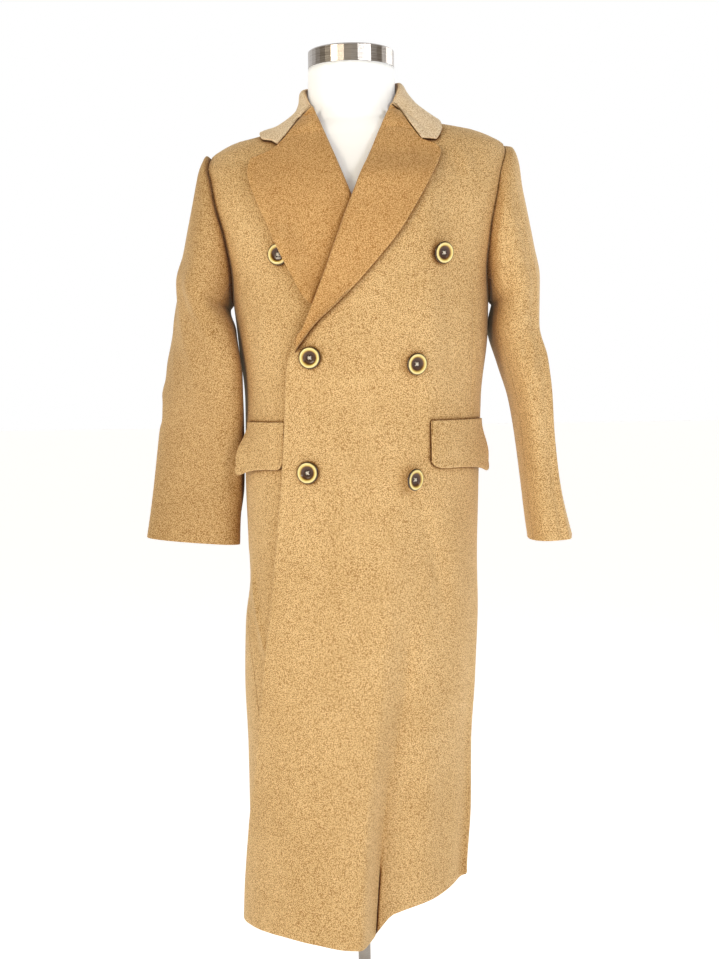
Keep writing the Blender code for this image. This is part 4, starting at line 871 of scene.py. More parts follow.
def back_panel(name, side, seam, finish):
    levels = fine_steps(ALL_LEVELS, ROW_STEP)
    end = outer_turn(levels, side, seam, False)
    middle = np.full(levels.shape, 180.0 * side)
    turns = spread([end, middle] if side > 0 else [middle, end], [90])
    z = hem_level(turns, levels[:, None])
    outer, inner = coat_point(turns, z, 0.0 * z), coat_point(turns, z, 0.0 * z - CLOTH)
    return shell(name, outer, inner, (True, False, False, False), finish)


# ---------------------------------------------------------------- sleeves
def sleeve_angles(part):
    """Angles round a sleeve, 0 outwards and 90 forwards, with its two seams on the armhole's own levels."""
    height = SHOULDER_TIP_Z - UNDERARM_Z
    half = [math.degrees(math.acos(2 * (z - UNDERARM_Z) / height - 1)) for z in reversed(ARMHOLE_LEVELS)]
    front = min(half, key=lambda angle: abs(angle - FRONT_SEAM_ANGLE))
    back = min(half, key=lambda angle: abs(angle - BACK_SEAM_ANGLE))
    ends = (-back, front) if part == "top" else (front, 360 - back)
    return np.linspace(*ends, SLEEVE_COLUMNS[part])


def sleeve_section(side, slant, middle, half_out, half_depth, twist, ridge, angle):
    """The points of one of a sleeve's sections."""
    across = half_out * np.cos(np.radians(angle))
    along = half_depth * np.sin(np.radians(angle))
    near_ridge = hump((angle - SLEEVE_RIDGE[0] + 180) % 360 - 180, SLEEVE_RIDGE[1])
    across, along = across + ridge * near_ridge, along + ridge * near_ridge
    turned_by, tilt = math.radians(twist), math.radians(slant)
    across, along = (
        across * math.cos(turned_by) - along * math.sin(turned_by),
        across * math.sin(turned_by) + along * math.cos(turned_by),
    )
    return np.stack([
        middle[0] + side * across * math.sin(tilt),
        middle[1] - along,
        middle[2] + across * math.cos(tilt),
    ], axis=-1)


def armhole_point(side, angle):
    """Points on the edge of the armhole in the coat's surface."""
    radians = np.radians(angle)
    z = mix(UNDERARM_Z, SHOULDER_TIP_Z, (1 + np.cos(radians)) / 2)
    y = -np.where(np.sin(radians) >= 0, ARMHOLE_FRONT, ARMHOLE_BACK) * np.sin(radians)
    turn = np.where(np.abs(y) > 1e-9, turn_at_depth(y, z, side), 90.0 * side)
    return body_point(turn, z)


def sleeve_sections(side, caps, arm, angles):
    """The sections of a sleeve, from the armhole down to the cuff, as [section, angle, xyz]."""
    seam = armhole_point(side, angles)
    foot, top = armhole_point(side, np.array(180.0)), armhole_point(side, np.array(0.0))
    middle, rise = (foot + top) / 2, top - foot
    sections = [seam + ARMHOLE_GAP * unit(middle - seam)]
    base_slant = math.degrees(math.atan2(side * rise[0], rise[2]))
    half_depth = np.where(np.sin(np.radians(angles)) >= 0, ARMHOLE_FRONT, ARMHOLE_BACK)
    half_height = np.linalg.norm(rise) / 2
    bulge = seam - sleeve_section(side, base_slant, middle, half_height, half_depth, 0, 0, angles)
    for cap in caps:
        swung = (cap.slant - base_slant) / (caps[-1].slant + 10 - base_slant)
        out, up = mix(np.array(SLEEVE_FOOT[0]), np.array(SLEEVE_FOOT[1]), swung)
        root = foot + np.array([side * out, 0, up])
        tilt = math.radians(cap.slant)
        centre = root + cap.span / 2 * np.array([side * math.sin(tilt), 0, math.cos(tilt)])
        section = sleeve_section(side, cap.slant, centre, cap.span / 2, cap.half_depth, 0, 0, angles)
        sections.append(section + bulge * (1 - swung) ** 2)
    for row in arm:
        centre = (row.x, row.y, row.z + lean(row.x, row.z))
        section = (side, row.slant, centre, row.half_out, row.half_depth, row.twist, row.ridge, angles)
        sections.append(sleeve_section(*section))
    return np.array(sections)


def sleeve_part(name, part, side, caps, arm, creases, finish):
    """Half of a two-part sleeve, from the cuff up to the armhole."""
    angles = sleeve_angles(part)
    sections = sleeve_sections(side, caps, arm, angles)
    downs = fine_steps(np.arange(len(sections)), SLEEVE_STEP)[::-1]
    smooth = curve(np.arange(len(sections)), sections, downs)
    if side > 0:
        smooth, angles = smooth[:, ::-1], angles[::-1]
    smooth, _ = walled(smooth, CLOTH)
    normal = unit(np.cross(np.gradient(smooth, axis=1), np.gradient(smooth, axis=0)))
    round_arm = np.broadcast_to((angles + 180) % 360 - 180, smooth.shape[:2])
    relief = crease_relief(creases, round_arm * ARM_METRES_PER_DEGREE, smooth[..., 2])
    fade = ease(downs / CAP_FADE)[:, None]
    outer, inner = walled(smooth + (relief * fade)[..., None] * normal, CLOTH)
    return shell(name, outer, inner, (True, False, False, False), finish)


# ---------------------------------------------------------------- lapels and collar
def gorge_spot(table, share):
    """The spots (x, z) on the gorge seam at shares of its way from the roll line to the notch."""
    return curve(np.linspace(0, 1, len(table)), np.array(table), 1 - share)


def lapel(name, side, edge_table, gorge_table, base, bump, finish):
    """A folded wall that wraps the roll line and lies on its front: base(x, z) out, and bump(x, z) more."""
    v = fine_steps([0, 1], LAPEL_STEP)
    z = mix(BREAK_Z - LAPEL_TIP[side], gorge_table[-1].z, v)
    folded_x, open_x = roll_x(z, side), front_edge_x(z, side) + side * TIP_INSET
    roll = np.stack([mix(folded_x, open_x, soft(z, TIP_OPENS)), z], axis=-1)
    risen = mix(TIP_LIFT, 1.0, soft(v, TIP_LIFT_V))
    edge = curve(np.linspace(0, 1, len(edge_table)), np.array(edge_table), v)
    toward_edge = unit(edge - roll)
    corner, top = np.array(gorge_table[0]), np.array(gorge_table[-1])
    bend = soft(v, CORNER_V)[:, None]

    def place(flat, out):
        return front_point(flat[:, 0], flat[:, 1], base(flat[:, 0], flat[:, 1]) + out * risen)

    outer, inner = [], []
    for wrap in ROLL_WRAP:
        outer.append(place(roll - wrap.outer_past * toward_edge, wrap.outer_out))
        inner.append(place(roll - wrap.inner_past * toward_edge, wrap.inner_out))
    to_corner, to_edge = (np.linalg.norm(p, axis=-1) for p in (corner - roll, edge - corner))
    share_at_corner = to_corner / np.maximum(to_corner + to_edge, 1e-6)
    for u in LAPEL_COLUMNS:
        share = np.minimum(1.0, u / share_at_corner)
        bulge = gorge_spot(gorge_table, share) - mix(top, corner, share[:, None])
        before = mix(roll, corner, share[:, None]) + bulge
        after = mix(corner, edge, ((u - share_at_corner) / (1 - share_at_corner))[:, None])
        bent = np.where((u < share_at_corner)[:, None], before, after)
        flat = mix(mix(roll, edge, u), bent, bend**3)
        hollow = LAPEL_HOLLOW * math.sin(math.pi * u) ** 2 * soft(v, LAPEL_HOLLOW_V)
        lift = mix(*LAPEL_LIFT, soft(u, LAPEL_LIFT_U)) + bump(flat[:, 0], flat[:, 1]) - hollow
        lift = lift + LAPEL_EDGE_STAND[side] * soft(u, LAPEL_STAND_U) * soft(v, LAPEL_STAND_V)
        outer.append(place(flat, lift + FOLDED))
        inner.append(place(flat, lift))
    outer, inner = refined([np.stack(grid, axis=1) for grid in (outer, inner)], LAPEL_FINE)
    if side < 0:
        outer, inner = outer[:, ::-1], inner[:, ::-1]
    return shell(name, outer, inner, (True, side > 0, True, side < 0), finish)


def refined(grids, step):
    """The grids with more columns, on smooth curves through the ones they have."""
    lengths = np.linalg.norm(np.diff(grids[0], axis=1), axis=-1).mean(axis=0)
    run = np.concatenate([[0.0], np.cumsum(lengths)])
    finer = [curve(run, np.swapaxes(grid, 0, 1), fine_steps(run, step), tight=False) for grid in grids]
    return [np.swapaxes(grid, 0, 1) for grid in finer]


def heading(azimuth):
    radians = np.radians(azimuth)
    return np.stack([np.sin(radians), -np.cos(radians), 0 * radians], axis=-1)


def place_over(x, y):
    """The turn and level at which the coat's shoulders pass under or over the plan positions."""
    low, high = np.full(x.shape, SHOULDER_LOW_Z), np.full(x.shape, NECKLINE_Z)
    for _ in range(LEVEL_HALVINGS):
        middle = (low + high) / 2
        section = read_row(COAT, "z", middle)
        depth = np.where(y < 0, section.front, section.back)
        across = np.abs(x - section.centre) / section.half_width
        outside = across**section.power + np.abs(y / depth) ** section.power > 1
        high, low = np.where(outside, middle, high), np.where(outside, low, middle)
    turn = np.degrees(np.arctan2(across ** (section.power / 2), np.abs(y / depth) ** (section.power / 2)))
    return np.copysign(np.where(y < 0, turn, 180 - turn), x), low


def collar_edge(fold, azimuth, fall, out):
    """Where the collar's outer edge lies on the shoulders when it falls that far from its fold."""
    low, high = (np.full(fall.shape, reach) for reach in COLLAR_REACH)
    for _ in range(REACH_HALVINGS):
        reach = (low + high) / 2
        away = reach[:, None] * heading(azimuth)
        spot = coat_point(*place_over(away[:, 0], away[:, 1]), out)
        short = np.linalg.norm(spot - fold, axis=-1) < fall
        low, high = np.where(short, reach, low), np.where(short, high, reach)
    return spot


def kept_off(points, out):
    spot = coat_point(*place_over(points[:, 0], points[:, 1]), out)
    return np.where((points[:, 2] < spot[:, 2])[:, None], spot, points)


def round_radius(table, away, z):
    """How far a level section reaches in a direction from the neck's middle."""
    section = read_row(table, "z", z)
    depth = np.where(away[:, 1] < 0, section.front, section.back)
    across, along = np.abs(away[:, 0] / section.half_width), np.abs(away[:, 1] / depth)
    return 1 / (across**section.power + along**section.power) ** (1 / section.power)


def collar_lines(side, cut):
    """The middle lines of the collar's wall, each from its edge up, over the fold and down the stand."""
    away, half, up = heading(side * cut.fold_azimuth), FOLDED / 2, np.array([0, 0, 1.0])
    middle_z = cut.fold_z - FOLD_R - half
    stand_off = STAND_GAP + COLLAR_EASE[side] * soft(cut.fold_azimuth, EASE_STEP)
    reach = round_radius(NECK, away, middle_z) + stand_off + half + FOLD_R
    middle = away * reach[:, None] + middle_z[:, None] * up
    turns = np.radians(FOLD_TURNS)
    fold = [middle + FOLD_R * (math.sin(a) * up - math.cos(a) * away) for a in turns]
    base = away * round_radius(COAT, away, np.full(middle_z.shape, NECKLINE_Z))[:, None]
    base = base + (NECKLINE_Z + lean(base[:, 0], NECKLINE_Z) + STAND_RISE)[:, None] * up - half * away
    edge = collar_edge(fold[0], side * cut.edge_azimuth, cut.fall, half + FALL_GAP[0])
    sag = mix(COLLAR_SAG[side], COLLAR_SAG[1], soft(cut.fold_azimuth, SAG_EVENS))
    sag = sag * soft(cut.fold_azimuth, SAG_STEP)
    sink = -sag[:, None] * (SAG_WAY[0] * away + SAG_WAY[1] * up)
    fall = [mix(edge, fold[0], s) + 4 * s * (1 - s) * sink for s in FALL_SHARES]
    fall = [kept_off(points, half + FALL_GAP[1]) for points in fall]
    return np.stack([edge] + fall + fold + [mix(fold[-1], base, 0.5), base], axis=1)


def gorge(side, table, line):
    """The middle line of the collar's front edge, which runs along the lapel's top edge."""
    share = np.array(GORGE_SHARES)
    ahead, behind = gorge_spot(table, share - GORGE_BESIDE), gorge_spot(table, share + GORGE_BESIDE)
    toward_roll = unit(ahead - behind)
    beside = side * np.stack([toward_roll[:, 1], -toward_roll[:, 0]], axis=-1)
    x, z = (gorge_spot(table, share) + GORGE_GAP * beside).T
    base = cover(x, z) if side > 0 else 0.0
    line = line.copy()
    line[: len(share)] = front_point(x, z, base + FOLDED / 2 + mix(*GORGE_LIFT, share))
    return line


def half_collar(side, table, seam):
    """The collar's lines on one side, from the gorge round to the middle of the back."""
    table = table + [BACK_COLLAR]
    first, last = table[0].fold_azimuth, table[1].fold_azimuth
    azimuths = np.concatenate([[first], fine_steps([last, 180.0], COLLAR_STEP)])
    lines = collar_lines(side, read_row(table, "fold_azimuth", azimuths))
    start = read_row(table, "fold_azimuth", np.array([first]))
    turned, dropped = BEFORE_GORGE
    start = start._replace(fold_azimuth=start.fold_azimuth - turned, fold_z=start.fold_z - dropped)
    front = [gorge(side, seam, collar_lines(side, start)[0]), lines[0], lines[1]]
    ends = [mix(a, b, t) for a, b in zip(front, front[1:]) for t in np.linspace(0, 1, 6)[:-1]]
    return np.concatenate([ends, lines[1:]])


def collar(name, finish):
    """The collar: one folded wall round the back of the neck, from gorge to gorge."""
    right = half_collar(1, RIGHT_COLLAR, RIGHT_GORGE)
    left = half_collar(-1, LEFT_COLLAR, LEFT_GORGE)
    lines = np.concatenate([right[:-1], left[::-1]])
    middle = np.swapaxes(refined([lines], COLLAR_FINE)[0], 0, 1)
    _, inner = walled(middle, FOLDED / 2)
    _, outer = walled(middle, -FOLDED / 2)
    return shell(name, outer, inner, (True, True, False, True), finish)


# ---------------------------------------------------------------- flaps
def flap_corner(along, reach, share):
    """How much of a flap's height its rounded corner takes off, `along` from the end, as a share."""
    inside = np.maximum(0.0, 1 - along / reach)
    return share * (1 - np.sqrt(1 - inside**2))


def pocket_flap(name, side, finish):
    """A flap that hangs from its top edge on the panel, and stands off it towards its lower rear corner."""
    up, along = FLAP_POINTS
    down, across = np.meshgrid(np.linspace(1, 0, up), np.linspace(0, 1, along) ** 1.15, indexing="ij")
    corners = flap_corner(across, *FRONT_CORNER) + flap_corner(1 - across, *REAR_CORNER)
    z = FLAP_TOP_Z - down * (FLAP_H * (1 - corners) + FLAP_REAR_DROP * across**4)
    front_x = RIGHT_FLAP_X if side > 0 else read(OVERLAP_EDGE, "z", "x", z) - FLAP_PAST_EDGE
    turn = mix(turn_at_x(front_x, z), mix(*FLAP_REAR[side], down), across)
    x = body_point(turn, z)[..., 0]
    base = cover(x, z) if side > 0 else 0.0
    stand = mix(*FLAP_STAND, down) + FLAP_FLARE[side] * soft(down, FLARE_STEP) * across**4
    edges = ridges((1 - down) * FLAP_H, EDGE_RIDGES) + ridges(across * FLAP_W, EDGE_RIDGES)
    outer = coat_point(turn, z, base + stand + FOLDED + edges)
    inner = coat_point(turn, z, base + stand)
    if side < 0:
        outer, inner = outer[:, ::-1], inner[:, ::-1]
    return shell(name, outer, inner, (True, True, False, True), finish)


# ---------------------------------------------------------------- buttons
def button_place(node):
    """The middle, facing and thread's depth of a button, from its solid."""
    points = np.array([v.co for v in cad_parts[node].data.vertices])
    middle = points.mean(axis=0)
    facing = np.linalg.svd(points - middle, full_matrices=False)[2][2]
    facing = facing * (1 if facing[1] < 0 else -1)
    heights = (points - middle) @ facing
    rim = middle + facing * (heights.max() - BUTTON_TOP)
    return Vector(rim), Vector(facing), heights.max() - BUTTON_TOP - heights.min()


def lathed(profile, steps):
    """A mesh turned about Z from a closed outline of (radius, height) that starts and ends on the axis."""
    work = bmesh.new()
    verts = [work.verts.new((r, 0, h)) for r, h in profile]
    edges = [work.edges.new(pair) for pair in zip(verts, verts[1:])]
    bmesh.ops.spin(work, geom=verts + edges, cent=(0, 0, 0), axis=(0, 0, 1), angle=2 * math.pi, steps=steps)
    bmesh.ops.remove_doubles(work, verts=work.verts, dist=0.00001)
    bmesh.ops.recalc_face_normals(work, faces=work.faces)
    return work


def cylinder(work, at, radius, depth):
    place = Matrix.Translation((*at, 0))
    bmesh.ops.create_cone(
        work, cap_ends=True, segments=20, radius1=radius, radius2=radius, depth=depth, matrix=place
    )


def mesh_from(work, name):
    mesh = bpy.data.meshes.new(name)
    work.to_mesh(mesh)
    work.free()
    return mesh


def button_mesh():
    """A dished, rimmed button with four holes cut through it."""
    keys = range(len(BUTTON_OUTLINE))
    middle = curve(keys, BUTTON_OUTLINE, fine_steps(keys, BUTTON_STEP), tight=False)
    outline = [(0.0, BUTTON_OUTLINE[0][1]), *middle.tolist(), (0.0, BUTTON_OUTLINE[-1][1])]
    body = add_object("button_blank", mesh_from(lathed(outline, BUTTON_SIDES), "button_blank"))
    work = bmesh.new()
    for corner in range(4):
        angle = math.radians(45 + 90 * corner)
        cylinder(work, (HOLE_RING * math.cos(angle), HOLE_RING * math.sin(angle)), HOLE_R, DRILL_L)
    drill = add_object("button_drill", mesh_from(work, "button_drill"))
    cut = body.modifiers.new("holes", "BOOLEAN")
    cut.object, cut.operation, cut.solver = drill, "DIFFERENCE", "EXACT"
    bpy.context.view_layer.update()
    mesh = bpy.data.meshes.new_from_object(body.evaluated_get(bpy.context.evaluated_depsgraph_get()))
    for made in (body, drill):
        bpy.data.objects.remove(made)
    return mesh


def tube(work, points, radius, sides=8):
    """A round strand along the points, closed at its ends, added to the work."""
    rings = []
    for k, point in enumerate(points):
        ahead = points[min(k + 1, len(points) - 1)] - points[max(k - 1, 0)]
        across = ahead.orthogonal().normalized()
        other = ahead.normalized().cross(across)
        turns = [2 * math.pi * s / sides for s in range(sides)]
        spokes = [radius * (math.cos(a) * across + math.sin(a) * other) for a in turns]
        rings.append([work.verts.new(point + spoke) for spoke in spokes])
    for low, high in zip(rings, rings[1:]):
        for a, b, c, d in zip(low, low[1:] + low[:1], high[1:] + high[:1], high):
            work.faces.new((a, b, c, d))
    work.faces.new(rings[0][::-1])
    work.faces.new(rings[-1])


def thread_mesh(name, depth):
    """The sewing thread: two crossed pairs of strands over the holes, and the shank that is wound below."""
    work = bmesh.new()
    floor = BUTTON_OUTLINE[0][1]
    for turned_by in (45, 135):
        along = Vector((math.cos(math.radians(turned_by)), math.sin(math.radians(turned_by)), 0))
        beside = Vector((-along.y, along.x, 0)) * THREAD_R
        for side in (-1, 1):
            arch = []
            for k in range(9):
                t = k / 4 - 1
                crossing = STITCH_CROSSING if turned_by == 135 else 0.0
                height = floor + STITCH_RISE * (1 - t**4) + crossing * (1 - t * t)
                height -= STITCH_DIVE * max(0.0, abs(t) - 0.8) / 0.2
                arch.append(HOLE_RING * t * along + side * beside + Vector((0, 0, height)))
            tube(work, arch, THREAD_R)
    low = -depth - SHANK_INTO_CLOTH
    coil = []
    for share in np.linspace(0, 1, 61).tolist():
        angle = 2 * math.pi * COIL_TURNS * share
        spoke = Vector((math.cos(angle), math.sin(angle), 0)) * COIL_R
        coil.append(spoke + Vector((0, 0, mix(-COIL_BELOW, low, share))))
    tube(work, coil, COIL_THREAD_R, 6)
    tube(work, [Vector((0, 0, SHANK_INTO_BUTTON)), Vector((0, 0, low))], SHANK_R, 12)
    bmesh.ops.recalc_face_normals(work, faces=work.faces)
    mesh = mesh_from(work, name)
    mesh.shade_smooth()
    return mesh


# ---------------------------------------------------------------- materials and light
class Nodes:
    """The node tree of a material or world, with short ways to add and join nodes."""

    def __init__(self, owner, shader="Principled BSDF", place="Object"):
        owner.use_nodes = True
        self.owner, self.tree = owner, owner.node_tree
        self.shader = self.tree.nodes[shader]
        self.place = self.add("ShaderNodeTexCoord").outputs[place]

    def join(self, socket, value):
        """Links a socket to another one, or sets it."""
        if isinstance(value, bpy.types.NodeSocket):
            self.tree.links.new(value, socket)
        else:
            socket.default_value = value

    def add(self, kind, **settings):
        made = self.tree.nodes.new(kind)
        for name, value in settings.items():
            if hasattr(made, name):
                setattr(made, name, value)
            else:
                self.join(made.inputs[name.replace("_", " ").title()], value)
        return made

    def scaled(self, scale):
        return self.add("ShaderNodeMapping", Vector=self.place, Scale=scale).outputs["Vector"]

    def noise(self, scale, detail=3.0, roughness=0.5, distortion=0.0, vector=None):
        sizes = {"Scale": scale, "Detail": detail, "Roughness": roughness, "Distortion": distortion}
        return self.add("ShaderNodeTexNoise", Vector=vector or self.place, **sizes).outputs["Fac"]

    def tips(self, scale):
        """Small uneven tufts, a few to the centimetre: 0 at a tuft's tip and 0.5 to 0.9 between tufts."""
        return self.add("ShaderNodeTexVoronoi", Vector=self.place, Scale=scale).outputs["Distance"]

    def openness(self, reach):
        """1 where nothing stands near the surface, and less beside an edge, in a gap or in a fold: the mask
        for the wool's painted shade.
        """
        return self.add("ShaderNodeAmbientOcclusion", samples=6, Distance=reach).outputs["AO"]

    def ramp(self, value, *stops):
        made = self.add("ShaderNodeValToRGB", Fac=value)
        elements = made.color_ramp.elements
        while len(elements) < len(stops):
            elements.new(0.5)
        for element, (position, colour) in zip(elements, stops):
            element.position = position
            element.color = (*colour, 1.0) if isinstance(colour, tuple) else (colour, colour, colour, 1.0)
        return made.outputs["Color"]

    def times(self, a, b):
        """One colour multiplied by another."""
        made = self.add("ShaderNodeMix", data_type="RGBA", blend_type="MULTIPLY")
        for place, value in ((0, 1.0), (6, a), (7, b)):
            self.join(made.inputs[place], value)
        return made.outputs[2]

    def sum(self, a, b, share):
        """a + b * share."""
        made = self.add("ShaderNodeMath", operation="MULTIPLY_ADD")
        for socket, value in zip(made.inputs, (b, share, a)):
            self.join(socket, value)
        return made.outputs[0]

    def rounded(self, radius):
        """The surface's direction, smoothed over the facets that meet within a radius."""
        return self.add("ShaderNodeBevel", samples=4, Radius=radius).outputs["Normal"]

    def bump(self, height, strength, distance, smooth=None, sunk=False):
        made = self.add("ShaderNodeBump", invert=sunk, Height=height, Strength=strength, Distance=distance)
        if smooth is not None:
            self.join(made.inputs["Normal"], smooth)
        self.join(self.shader.inputs["Normal"], made.outputs["Normal"])

    def set(self, **values):
        """Links or sets the shader's own sockets."""
        for name, value in values.items():
            self.join(self.shader.inputs[name.replace("_", " ")], value)


def material(name):
    return Nodes(bpy.data.materials.new(name))


def wool(name, shade, middle, light):
    """Brushed camel wool: a short matted nap, mottled by its mixed fibres, with a soft sheen, and painted
    shade in its folds, gaps and under its raised edges.
    """
    made = material(name)
    fibres = made.noise(900, 2.0, 0.6)
    tips = made.tips(740)
    patches = made.noise(11, 3.0, 0.5)
    grain = made.sum(tips, fibres, 0.4)
    colour = made.ramp(grain, (0.42, light), (0.67, middle), (0.93, shade))
    mottle = made.ramp(patches, (0.36, (0.96, 0.94, 0.91)), (0.64, (1.04, 1.04, 1.05)))
    colour = made.times(colour, mottle)
    # painted shade: darker and redder in folds and recesses
    colour = made.times(colour, made.ramp(made.openness(0.030), *WOOL_PAINTED_FOLD_SHADE))
    # painted shade: a dark line in narrow gaps, at seams and under raised edges
    colour = made.times(colour, made.ramp(made.openness(0.009), *WOOL_PAINTED_GAP_SHADE))
    made.set(Base_Color=colour, Roughness=0.93, Specular_IOR_Level=0.18)
    made.set(Sheen_Weight=0.35, Sheen_Roughness=0.45, Sheen_Tint=(1.0, 0.86, 0.62, 1.0))
    made.bump(tips, 0.35, 0.0006, sunk=True)
    return made.owner


def horn():
    """Golden horn with a brown middle, under a gloss."""
    made = material("horn")
    across = made.scaled((RING_SCALE / BUTTON_R, RING_SCALE / BUTTON_R, 0))
    radius = made.add("ShaderNodeVectorMath", operation="LENGTH", Vector=across)
    cloudy = made.noise(260, 4.0, 0.6, 1.4)
    colour = made.ramp(
        made.sum(radius.outputs["Value"], cloudy, 0.05),
        (0.10, (0.030, 0.012, 0.004)),
        (0.52, (0.075, 0.026, 0.007)),
        (0.59, (0.36, 0.20, 0.04)),
        (0.65, (0.76, 0.57, 0.15)),
        (0.78, (0.93, 0.82, 0.40)),
        (0.83, (0.55, 0.39, 0.12)),
        (0.86, (0.040, 0.020, 0.008)),
    )
    made.set(Base_Color=colour, Roughness=0.30, Specular_IOR_Level=0.45)
    made.set(Coat_Weight=0.35, Coat_Roughness=0.12)
    made.bump(cloudy, 0.08, 0.0003)
    return made.owner


def thread():
    made = material("thread")
    twist = made.noise(2600, 2.0, 0.5, vector=made.scaled((1, 1, 3)))
    colour = made.ramp(twist, (0.35, (0.66, 0.58, 0.46)), (0.65, (0.92, 0.88, 0.80)))
    made.set(Base_Color=colour, Roughness=0.7)
    made.bump(twist, 0.5, 0.0003)
    return made.owner


def form_cover():
    """The form's smooth white jersey, with a faint painted glow that brightens it."""
    made = material("form_cover")
    knit = made.noise(1300, 2.0, 0.5, vector=made.scaled((1, 1, 0.5)))
    soil = made.noise(9, 3.0, 0.5)
    colour = made.ramp(soil, (0.30, (0.91, 0.92, 0.92)), (0.70, (0.95, 0.96, 0.96)))
    made.set(Base_Color=colour, Roughness=0.78, Sheen_Weight=0.15, Specular_IOR_Level=0.25)
    # A painted glow: the jersey gives off a little light of its own, though it is no lamp.
    made.set(Emission_Color=(0.93, 0.98, 1.0, 1.0), Emission_Strength=0.16)
    made.bump(knit, 0.15, 0.0004, made.rounded(0.012))
    return made.owner


def brushed_steel(name, dark, light, roughness):
    """Steel brushed round its axis: fine level scratches over a slow change of tone."""
    made = material(name)
    scratches = made.noise(1.0, 4.0, 0.6, vector=made.scaled((14, 14, 2600)))
    tone = made.noise(22, 2.0, 0.5, vector=made.scaled((1, 1, 0.4)))
    both = made.sum(scratches, tone, 0.5)
    rough = made.ramp(scratches, (0.30, roughness - 0.07), (0.70, roughness + 0.09))
    made.set(Base_Color=made.ramp(both, (0.55, dark), (0.95, light)), Metallic=1.0, Roughness=rough)
    made.bump(scratches, 0.12, 0.0002)
    return made.owner


# ---------------------------------------------------------------- putting it together
def no_rise(x, z):
    return 0.0 * (x + z)


def over_button(x, z):
    """The left lapel rides up where it lies on the upper left button."""
    away = np.hypot(x - UPPER_LEFT_BUTTON.x, z - UPPER_LEFT_BUTTON.z)
    return ON_BUTTON * soft(away, OFF_BUTTON)


def build_cloth():
    cloth = wool("camel_wool", *BODY_WOOL)
    # painted shade: a darker copy of the wool for the lapels
    lapel_painted_shade_cloth = wool("camel_wool_lapels", *LAPEL_PAINTED_SHADE_WOOL)
    # painted highlight: a paler copy of the wool for the collar
    collar_painted_light_cloth = wool("camel_wool_collar", *COLLAR_PAINTED_LIGHT_WOOL)
    # painted shade: a darker copy of the wool for the left sleeve
    left_sleeve_painted_shade_cloth = wool("camel_wool_sleeve", *LEFT_SLEEVE_PAINTED_SHADE_WOOL)
    left_sleeve = (-1, LEFT_CAP, LEFT_ARM, LEFT_SLEEVE_CREASES, left_sleeve_painted_shade_cloth)
    right_sleeve = (1, RIGHT_CAP, RIGHT_ARM, RIGHT_SLEEVE_CREASES, cloth)
    pieces = [
        front_panel("front_left", -1, LEFT_SIDE_SEAM, cloth),
        front_panel("front_right", 1, RIGHT_SIDE_SEAM, cloth),
        back_panel("back_left", -1, LEFT_SIDE_SEAM, cloth),
        back_panel("back_right", 1, RIGHT_SIDE_SEAM, cloth),
    ]
    for part in ("top", "under"):
        pieces.append(sleeve_part(f"sleeve_left_{part}", part, *left_sleeve))
        pieces.append(sleeve_part(f"sleeve_right_{part}", part, *right_sleeve))
    pieces += [
        lapel("lapel_left", -1, LEFT_LAPEL_EDGE, LEFT_GORGE, no_rise, over_button, lapel_painted_shade_cloth),
        lapel("lapel_right", 1, RIGHT_LAPEL_EDGE, RIGHT_GORGE, cover, no_rise, lapel_painted_shade_cloth),
        collar("collar", collar_painted_light_cloth),
        pocket_flap("pocket_flap_left", -1, cloth),
        pocket_flap("pocket_flap_right", 1, cloth),
    ]
    for piece in pieces:
        node = piece.name.removesuffix(CLOTH_SUFFIX)
        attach(piece, "root")
        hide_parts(node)


def build_buttons():
    gloss, sewing = horn(), thread()
    mesh = button_mesh()
    mesh.materials.clear()
    mesh.materials.append(gloss)
    mesh.shade_smooth()
    mesh.set_sharp_from_angle(angle=SHARP_ANGLE)
    for node in [f"button_{row}_{side}" for row in BUTTON_ROWS for side in ("left", "right")]:
        spot, facing, depth = button_place(node)
        piece = add_object(f"{node}_horn", mesh.copy())
        stitches = add_object(f"{node}_thread", thread_mesh(f"{node}_thread", depth))
        stitches.data.materials.append(sewing)
        for made in (piece, stitches):
            turn_to(made, spot, facing, "Z", "Y")
            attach(made, "root")
        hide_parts(node)


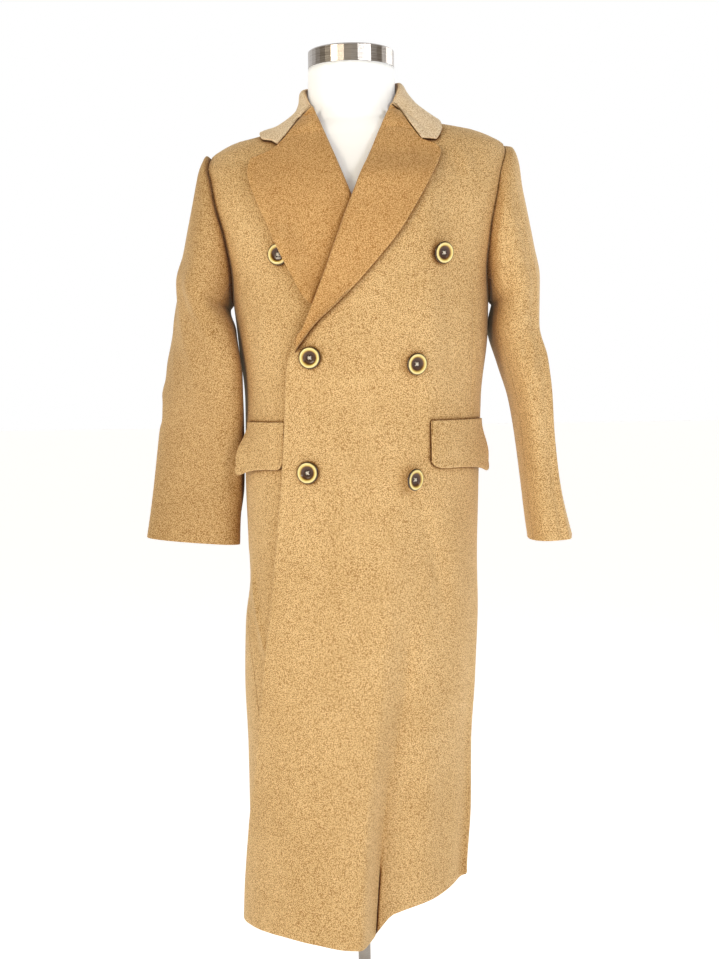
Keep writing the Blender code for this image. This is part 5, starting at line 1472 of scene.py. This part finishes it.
def dress_stand():
    finishes = {
        "form_body": form_cover(),
        "neck_cap": brushed_steel("cap_steel", (0.30, 0.26, 0.23), (0.56, 0.53, 0.50), 0.30),
    }
    stand = brushed_steel("stand_steel", (0.20, 0.18, 0.16), (0.40, 0.37, 0.34), 0.36)
    for node in ("form_body", "neck_cap", "form_socket", "pole", "foot_socket", "foot"):
        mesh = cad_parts[node].data
        mesh.materials.clear()
        mesh.materials.append(finishes.get(node, stand))


def build_stage():
    """A plain pale floor."""
    mesh = bpy.data.meshes.new("floor")
    corners = [(x * FLOOR_HALF, y * FLOOR_HALF, 0) for x, y in ((-1, -1), (1, -1), (1, 1), (-1, 1))]
    mesh.from_pydata(corners, [], [(0, 1, 2, 3)])
    pale = material("floor")
    pale.set(Base_Color=(0.92, 0.92, 0.92, 1.0), Roughness=0.9, Specular_IOR_Level=0.1)
    pale.set(Emission_Color=(1.0, 1.0, 1.0, 1.0), Emission_Strength=FLOOR_GLOW)
    mesh.materials.append(pale.owner)
    add_object("floor", mesh)


def build_lights():
    world = bpy.data.worlds.new("studio")
    bpy.context.scene.world = world
    room = Nodes(world, "Background", "Generated")
    ahead = room.add("ShaderNodeSeparateXYZ", Vector=room.place).outputs["Y"]
    share = room.add("ShaderNodeMapRange", Value=ahead, From_Min=-1.0).outputs["Result"]
    room.set(Color=room.ramp(share, *WORLD_STOPS), Strength=WORLD_LIGHT)
    for row in LIGHTS:
        lamp = bpy.data.lights.new(row.name, "AREA")
        lamp.shape, lamp.size, lamp.energy, lamp.color = "DISK", row.size, row.watts, row.colour
        turn_to(add_object(row.name, lamp), row.at, Vector(row.aim) - Vector(row.at), "-Z", "Y")
    bpy.context.scene.view_settings.view_transform = "Standard"


def build_camera():
    data = bpy.data.cameras.new("camera")
    data.sensor_width = SENSOR
    data.lens = FOCAL_PX * SENSOR / max(PICTURE)
    data.shift_y = -(HORIZON_PX - FOCAL_PX * math.tan(PITCH)) / max(PICTURE)
    camera = add_object("camera", data)
    tilted = Matrix.Rotation(math.radians(90) - PITCH, 4, "X") @ Matrix.Rotation(-ROLL, 4, "Z")
    camera.matrix_world = Matrix.Translation(CAMERA_AT) @ tilted
    bpy.context.scene.camera = camera


build_camera()
build_cloth()
build_buttons()
dress_stand()
build_stage()
build_lights()
